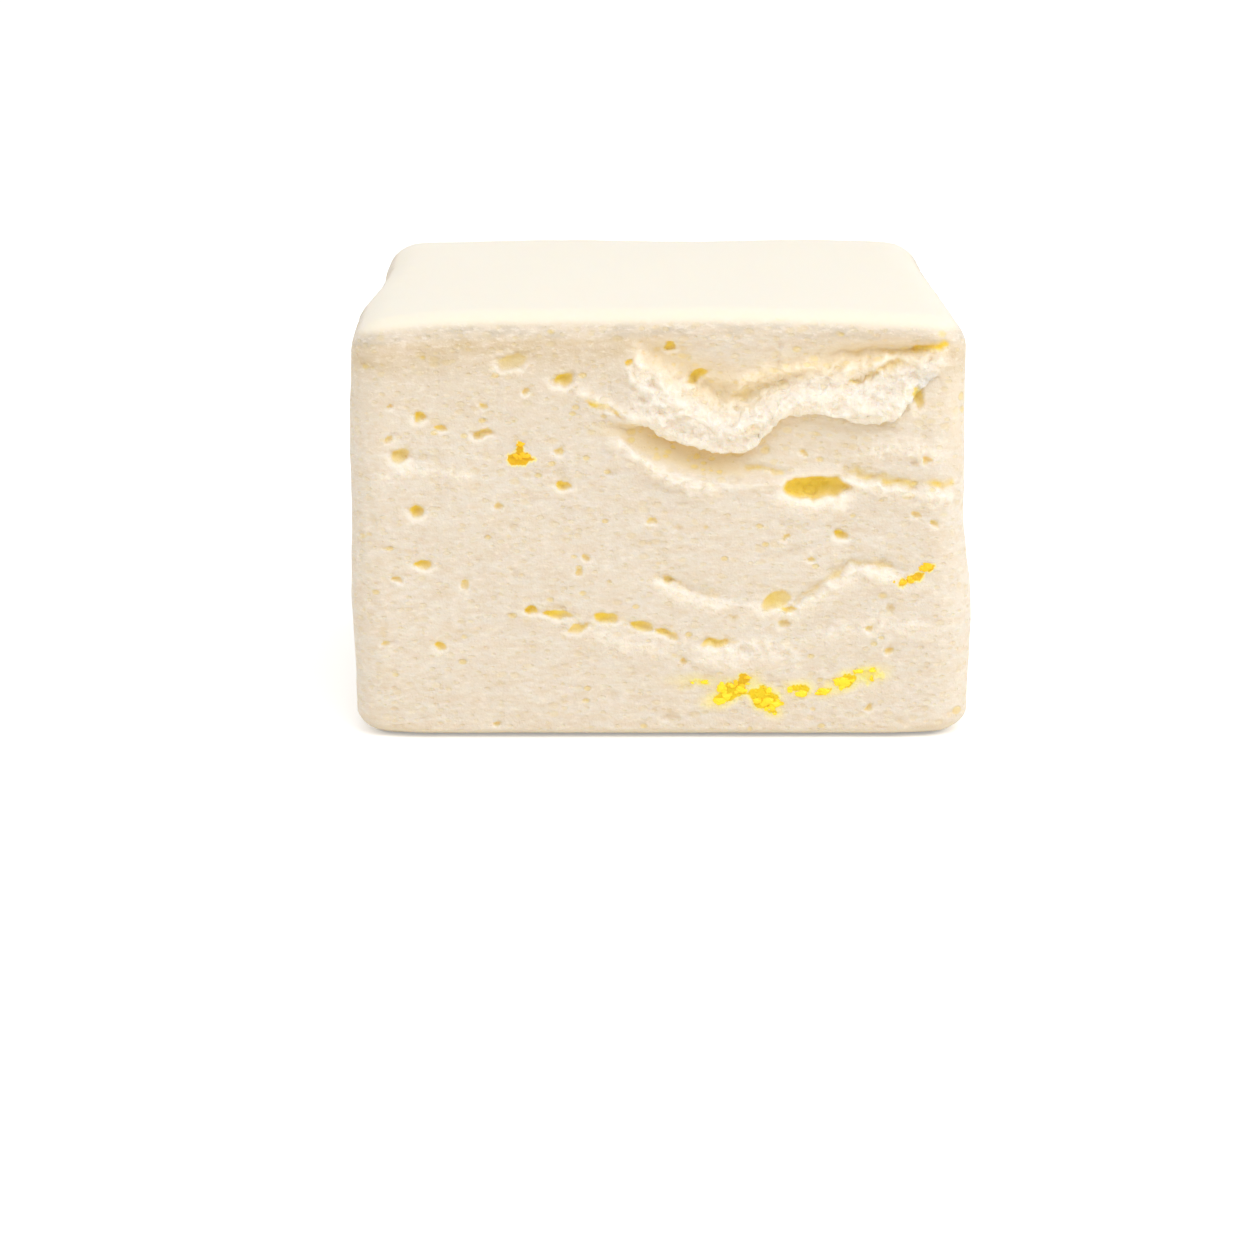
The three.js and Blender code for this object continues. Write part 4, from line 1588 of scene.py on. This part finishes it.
@dataclass(frozen=True)
class FoamFinish:
    """The marshmallow's foam: dusted skins, pored cuts, lemon stains, painted shade and highlights."""

    skin: tuple = linear(243, 234, 216)
    foam: tuple = linear(233, 225, 213)
    shade: tuple = linear(230, 217, 199)
    # painted highlight on glints, flecks, raised places and lower rims, and the torn foam's whiteness
    bright: tuple = linear(250, 242, 230)
    # painted warm shade in the hollow under the curtain and in sunken places
    hollow: tuple = linear(230, 209, 166)
    upper_shade: tuple = linear(217, 198, 165)  # painted shade, darker towards the top of the cut sides, just under the top skin
    brow_shade: tuple = linear(211, 200, 183)  # painted shade on the cut's upper edge, which the skin overhangs and which tilts up to the light
    # painted gold shade in bubbles, pores and creases
    golden_shade: tuple = linear(240, 211, 72)
    lemon: tuple = linear(250, 216, 30)
    ripe: tuple = linear(238, 190, 20)
    pale_lemon: tuple = linear(254, 240, 168)
    glow_colour: tuple = linear(255, 222, 150)  # colour of a painted glow, for light that has come through the foam
    glow: float = 0.13

    # sizes in millimetres
    pore_size: float = 0.5
    grain_size: float = 0.16
    crumb_size: float = 0.36
    spot_spacing: float = 1.3
    spot_share: float = 0.7

    # how far each layer of colour covers those before it
    upper_shade_cover: float = 0.9
    mottle_cover: float = 0.85
    pore_shade_cover: float = 0.12
    spot_shade_cover: float = 0.42
    glint_cover: float = 0.35
    dull_cover: float = 0.25
    fleck_highlight_cover: float = 0.25
    torn_whiteness_and_highlight_cover: float = 0.55
    torn_fleck_highlight_cover: float = 0.3
    hollow_shade_cover: float = 0.85
    hollow_pore_shade_cover: float = 0.4
    raised_highlight_cover: float = 0.8
    sunk_shade_cover: float = 0.9
    rim_highlight_cover: float = 0.5

    # how far each layer of bump stands, in millimetres
    pore_bump: float = 0.065
    grain_bump: float = 0.05
    torn_bump: float = 0.16
    skin_bump: float = 0.35  # the grain's bump on the skins, as a share of that on the cuts

    roughness: float = 0.48
    ior: float = 1.42
    specular: float = 0.4
    scatter: float = 0.85
    scatter_radius: Colour = (1.0, 0.85, 0.62)
    scatter_scale: float = 0.8  # millimetres
    sheen: float = 0.12
    sheen_roughness: float = 0.5

    def material(self, grain: bpy.types.NodeTree) -> bpy.types.Material:
        """Builds the material.

        Args:
            grain: the sugar grain group.

        Returns:
            The new material.
        """
        made, sheet = new_material("Marshmallow foam")
        place = sheet.millimetres()
        marks = {name: sheet.number(name) for name in ("cut", "torn", "hollow", "golden_shade")}
        marks["pores"] = self._pores(sheet, place)
        marks["spots"] = self._spots(sheet, place)
        marks["glints"] = sheet.noise(sheet.stretched(place, (0.55, 0.55, 1.25)), 3.2, 2.0, 0.6)
        sugar = sheet.sugar(grain, place, self.grain_size)
        crumbs = sheet.sugar(grain, place, self.crumb_size)
        foam = self._foam_colour(sheet, place, marks, sugar["Fleck"], crumbs["Fleck"])
        # a painted glow lifts the shade under the lip, in the crease and in the cavities
        glow_share = sheet.maths("MAXIMUM", sheet.number("deep"), sheet.times(marks["golden_shade"], 0.3))
        shader = sheet.add("ShaderNodeBsdfPrincipled", {
            "Base Color": self._dressed_colour(sheet, marks, foam),
            "Roughness": self.roughness,
            "IOR": self.ior,
            "Normal": self._bumps(sheet, marks, sugar["Height"], crumbs["Height"]),
            "Subsurface Weight": self.scatter,
            "Subsurface Radius": self.scatter_radius,
            "Subsurface Scale": self.scatter_scale * MM,
            "Specular IOR Level": self.specular,
            "Sheen Weight": self.sheen,
            "Sheen Roughness": self.sheen_roughness,
            "Emission Color": sheet.blend(glow_share, (0.0, 0.0, 0.0, 1.0), self.glow_colour),
            "Emission Strength": self.glow,
        }, subsurface_method="RANDOM_WALK")
        sheet.add("ShaderNodeOutputMaterial", {"Surface": shader.outputs[0]})
        return made

    def _foam_colour(self, sheet: NodeSheet, place: Socket, marks: dict[str, Socket],
                     fleck: Socket, crumb_fleck: Socket) -> Socket:
        """The cut foam's colour before its bubbles and stains.

        Args:
            sheet: the material's nodes.
            place: places in millimetres.
            marks: the painted numbers and the pores, spots and glints, by name.
            fleck: the sugar grain's brightest points.
            crumb_fleck: the same of the torn crumb.

        Returns:
            The colour's socket.
        """
        upper_shade = sheet.times(sheet.number("upper_shade"), self.upper_shade_cover)
        mottle = sheet.noise(sheet.stretched(place, (0.5, 0.5, 1.6)), 1.1, 3.0, 0.6)
        glints = marks["glints"]
        torn_glints = sheet.maths("MULTIPLY_ADD", marks["torn"], 0.08, glints)
        torn_lit = sheet.maths("MULTIPLY_ADD", crumb_fleck, self.torn_fleck_highlight_cover, self.torn_whiteness_and_highlight_cover)
        layers = (
            # painted shade under the top skin and on its upper edge
            (upper_shade, self.upper_shade),
            (sheet.number("brow_shade"), self.brow_shade),
            (sheet.span(mottle, 0.35, 0.68, 0.0, self.mottle_cover), self.shade),
            # painted gold shade in the pores
            (sheet.times(marks["pores"], self.pore_shade_cover), self.golden_shade),
            (sheet.times(marks["spots"], self.spot_shade_cover), self.golden_shade),
            # painted glints, and darker patches in the upper shade colour where the glint noise is low
            (sheet.span(torn_glints, 0.54, 0.68, 0.0, self.glint_cover), self.bright),
            (sheet.span(glints, 0.47, 0.34, 0.0, self.dull_cover), self.upper_shade),
            # painted highlights on the sugar grain's highest points
            (sheet.times(fleck, self.fleck_highlight_cover), self.bright),
            # the torn foam, brighter: partly its whiteness, partly a painted highlight
            (sheet.times(marks["torn"], torn_lit), self.bright),
        )
        colour = self.foam
        for cover, over in layers:
            colour = sheet.blend(cover, colour, over)
        return colour

    def _dressed_colour(self, sheet: NodeSheet, marks: dict[str, Socket], foam: Socket) -> Socket:
        """The whole block's colour, with its hollows, bubbles, skins and lemon stains.

        Args:
            sheet: the material's nodes.
            marks: the painted numbers and the pores, by name.
            foam: the cut foam's colour.

        Returns:
            The colour's socket.
        """
        convex, lemon = sheet.number("convex"), sheet.number("lemon")
        hollow_pore_shade = sheet.times(sheet.times(marks["pores"], marks["hollow"]), self.hollow_pore_shade_cover)
        layers = (
            # painted shade in the curtain's hollow, with painted gold shade in its pores
            (sheet.times(marks["hollow"], self.hollow_shade_cover), self.hollow),
            (hollow_pore_shade, self.golden_shade),
            # painted highlight on raised places and painted shade in sunken ones
            (sheet.span(convex, 0.02, 0.28, 0.0, self.raised_highlight_cover), self.bright),
            (sheet.span(convex, -0.02, -0.4, 0.0, self.sunk_shade_cover), self.hollow),
            # painted highlight on the bubbles' lower rims, and painted gold shade inside them
            (sheet.times(sheet.number("rim"), self.rim_highlight_cover), self.bright),
            (marks["golden_shade"], self.golden_shade),
        )
        colour = foam
        for cover, over in layers:
            colour = sheet.blend(cover, colour, over)
        faces = sheet.blend(marks["cut"], self.skin, colour)
        stained = sheet.blend(sheet.span(lemon, 0.02, 0.45), faces, self.pale_lemon)
        peel = sheet.blend(sheet.number("ripe"), self.lemon, self.ripe)
        return sheet.blend(sheet.span(lemon, 0.45, 0.85), stained, peel)

    def _bumps(self, sheet: NodeSheet, marks: dict[str, Socket], grain: Socket,
               crumb: Socket) -> Socket:
        """The normal, with dented pores, sugar grain and torn crumb.

        Args:
            sheet: the material's nodes.
            marks: the painted numbers and the pores, spots and glints, by name.
            grain: the sugar grain's relief.
            crumb: the torn crumb's relief.

        Returns:
            The normal's socket.
        """
        dented = sheet.maths("MULTIPLY_ADD", marks["spots"], 1.5, marks["pores"])
        dents = sheet.bump(sheet.times(sheet.times(dented, marks["cut"]), -1.0), 0.8, self.pore_bump)
        share = sheet.span(marks["cut"], 0.0, 1.0, self.skin_bump, 1.0)
        heights = sheet.maths("MULTIPLY_ADD", marks["glints"], 1.0, grain)
        fine = sheet.bump(sheet.times(heights, share), 0.8, self.grain_bump, dents)
        return sheet.bump(sheet.times(crumb, marks["torn"]), 0.9, self.torn_bump, fine)

    def _pores(self, sheet: NodeSheet, place: Socket) -> Socket:
        """The finest pores, flattened by the foam's weight.

        Args:
            sheet: the material's nodes.
            place: places in millimetres.

        Returns:
            A mask, 1 in the pores' middles.
        """
        masks = []
        for size, share, least in ((self.pore_size, 0.5, 0.16), (0.6 * self.pore_size, 0.45, 0.2)):
            flat = sheet.stretched(place, (0.62 / size, 0.62 / size, 1 / size))
            cells = sheet.add("ShaderNodeTexVoronoi", {"Vector": flat, "Scale": 1.0})
            draw = sheet.add("ShaderNodeSeparateColor", {0: cells.outputs["Color"]}).outputs[0]
            radius = sheet.times(sheet.span(draw, 1 - share, 1.0), 0.4)
            edge = sheet.maths("SUBTRACT", sheet.maths("ADD", radius, least), cells.outputs["Distance"])
            there = sheet.maths("GREATER_THAN", draw, 1 - share)
            masks.append(sheet.times(sheet.span(edge, 0.0, 0.28), there))
        return sheet.maths("MAXIMUM", *masks)

    def _spots(self, sheet: NodeSheet, place: Socket) -> Socket:
        """The pores that are just large enough to be seen one by one.

        Args:
            sheet: the material's nodes.
            place: places in millimetres.

        Returns:
            A mask, 1 in the pores' middles.
        """
        size = self.spot_spacing
        flat = sheet.stretched(place, (0.7 / size, 0.7 / size, 1 / size))
        cells = sheet.add("ShaderNodeTexVoronoi", {"Vector": flat, "Scale": 1.0})
        draw = sheet.add("ShaderNodeSeparateColor", {0: cells.outputs["Color"]}).outputs
        radius = sheet.span(draw[1], 0.0, 1.0, 0.13, 0.3)
        there = sheet.maths("LESS_THAN", draw[0], self.spot_share)
        inside = sheet.maths("SUBTRACT", radius, cells.outputs["Distance"])
        return sheet.times(sheet.span(inside, 0.0, 0.08), there)


@dataclass(frozen=True)
class LemonFinish:
    """The lemon-coloured granules: glossy yellow, with darker and drier bits."""

    bright: tuple = linear(250, 217, 38)
    dark: tuple = linear(234, 184, 14)
    glow: float = 0.2  # a painted glow, for the light that the foam behind the peel sends through it
    grain_size: float = 0.12
    grain_bump: float = 0.04
    roughness: float = 0.38

    def material(self, grain: bpy.types.NodeTree) -> bpy.types.Material:
        """Builds the material.

        Args:
            grain: the sugar grain group.

        Returns:
            The new material.
        """
        made, sheet = new_material("Lemon peel")
        place = sheet.millimetres()
        patchy = sheet.span(sheet.noise(place, 1.6, 3.0), 0.56, 0.7, 0.0, 0.8)
        share = sheet.maths("MAXIMUM", patchy, sheet.times(sheet.number("ripe"), 0.9))
        colour = sheet.blend(share, self.bright, self.dark)
        height = sheet.sugar(grain, place, self.grain_size)["Height"]
        shader = sheet.add("ShaderNodeBsdfPrincipled", {
            "Base Color": colour,
            "Roughness": self.roughness,
            "Normal": sheet.bump(height, 0.6, self.grain_bump),
            "Emission Color": colour,
            "Emission Strength": self.glow,
        })
        sheet.add("ShaderNodeOutputMaterial", {"Surface": shader.outputs[0]})
        return made


@dataclass(frozen=True)
class FloorFinish:
    """The studio's plain white floor."""

    seen: tuple = linear(250, 250, 250)
    lighting: tuple = linear(244, 236, 222)  # the darker colour that lights the block from below
    glow: float = 0.3

    def material(self) -> bpy.types.Material:
        """Builds the material.

        Returns:
            The new material.
        """
        made, sheet = new_material("Studio white")
        noise = sheet.add("ShaderNodeTexNoise", {"Scale": 40.0}).outputs["Fac"]
        uneven = sheet.blend(sheet.times(noise, 0.1), self.seen, linear(246, 246, 246))
        looked_at = sheet.add("ShaderNodeLightPath").outputs["Is Camera Ray"]
        shader = sheet.add("ShaderNodeBsdfPrincipled", {
            "Base Color": sheet.blend(looked_at, self.lighting, uneven), "Roughness": 0.8,
            "Emission Color": sheet.blend(looked_at, (0, 0, 0, 1), self.seen),
            "Emission Strength": self.glow,
        })
        sheet.add("ShaderNodeOutputMaterial", {"Surface": shader.outputs[0]})
        return made


# ---- Studio -----------------------------------------------------------------------------------
@dataclass(frozen=True)
class SoftLight:
    """One soft square lamp that faces a point."""

    name: str
    place: tuple[float, float, float]  # millimetres
    side: float
    watts: float
    colour: Colour = (1.0, 1.0, 1.0)

    def build(self, target: Vector) -> bpy.types.Object:
        """Makes the lamp.

        Args:
            target: the point it faces, in metres.

        Returns:
            The linked lamp.
        """
        lamp = bpy.data.lights.new(self.name, "AREA")
        lamp.size = self.side * MM
        lamp.energy = self.watts
        lamp.color = self.colour
        made = bpy.data.objects.new(self.name, lamp)
        made.location = Vector(self.place) * MM
        made.rotation_euler = (target - made.location).to_track_quat("-Z", "Y").to_euler()
        bpy.context.scene.collection.objects.link(made)
        return made


@dataclass
class Studio:
    """The floor, the light and the camera."""

    image_side: int = 1254  # pixels
    focal_pixels: float = 3800.0
    camera_place: tuple[float, float, float] = (-1.9, -248.8, 61.6)  # millimetres
    camera_pitch: float = 13.26  # degrees below the level
    floor_side: float = 6000.0
    world_strength: float = 0.83
    lights: tuple[SoftLight, ...] = (
        SoftLight("key", (120.0, -280.0, 400.0), 320.0, 0.85),
        SoftLight("right", (420.0, -60.0, 160.0), 260.0, 0.28, (0.94, 0.98, 1.0)),
    )

    def build(self) -> None:
        """Builds the floor, the light and the camera."""
        self._camera()
        self._floor()
        world = bpy.data.worlds.new("Studio")
        world.use_nodes = True
        sheet = NodeSheet(world.node_tree)
        looked_at = sheet.add("ShaderNodeLightPath").outputs["Is Camera Ray"]
        extra = sheet.times(looked_at, 1 - self.world_strength)
        background = sheet.add("ShaderNodeBackground", {
            "Color": (1.0, 1.0, 1.0, 1.0),
            "Strength": sheet.maths("ADD", extra, self.world_strength),
        })
        sheet.add("ShaderNodeOutputWorld", {"Surface": background.outputs[0]})
        scene = bpy.context.scene
        scene.world = world
        scene.view_settings.view_transform = "Standard"
        for light in self.lights:
            light.build(Vector((0.0, 0.0, 13.0)) * MM)

    def _camera(self) -> None:
        """The camera, at the height and distance of an eye close to the block."""
        camera = bpy.data.cameras.new("camera")
        camera.sensor_width = 36.0
        camera.lens = self.focal_pixels / self.image_side * camera.sensor_width
        made = bpy.data.objects.new("camera", camera)
        made.location = Vector(self.camera_place) * MM
        made.rotation_euler = (math.radians(90 - self.camera_pitch), 0.0, 0.0)
        bpy.context.scene.collection.objects.link(made)
        bpy.context.scene.camera = made

    def _floor(self) -> None:
        """The floor, level with the block's base."""
        half = self.floor_side / 2
        corners = np.array([(-half, -half, 0), (half, -half, 0), (half, half, 0), (-half, half, 0)])
        floor = new_mesh("floor", corners.astype(float), np.array([(0, 1, 2), (0, 2, 3)]))
        floor.data.materials.append(FloorFinish().material())


def main() -> None:
    """Builds the block and its studio, and reports each piece."""
    logging.basicConfig(level=logging.INFO, format="%(name)s: %(message)s")
    grain = grain_group()
    block = MarshmallowBlock()
    foam = block.build()
    foam.data.materials.append(FoamFinish().material(grain))
    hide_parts(NODE)
    granules = LemonGranules(block).build()
    granules.data.materials.append(LemonFinish().material(grain))
    for piece in (foam, granules):
        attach(piece, BODY)
        LOG.info("%s: %d triangles", piece.name, len(piece.data.polygons))
    Studio().build()


if __name__ == "__main__":
    main()
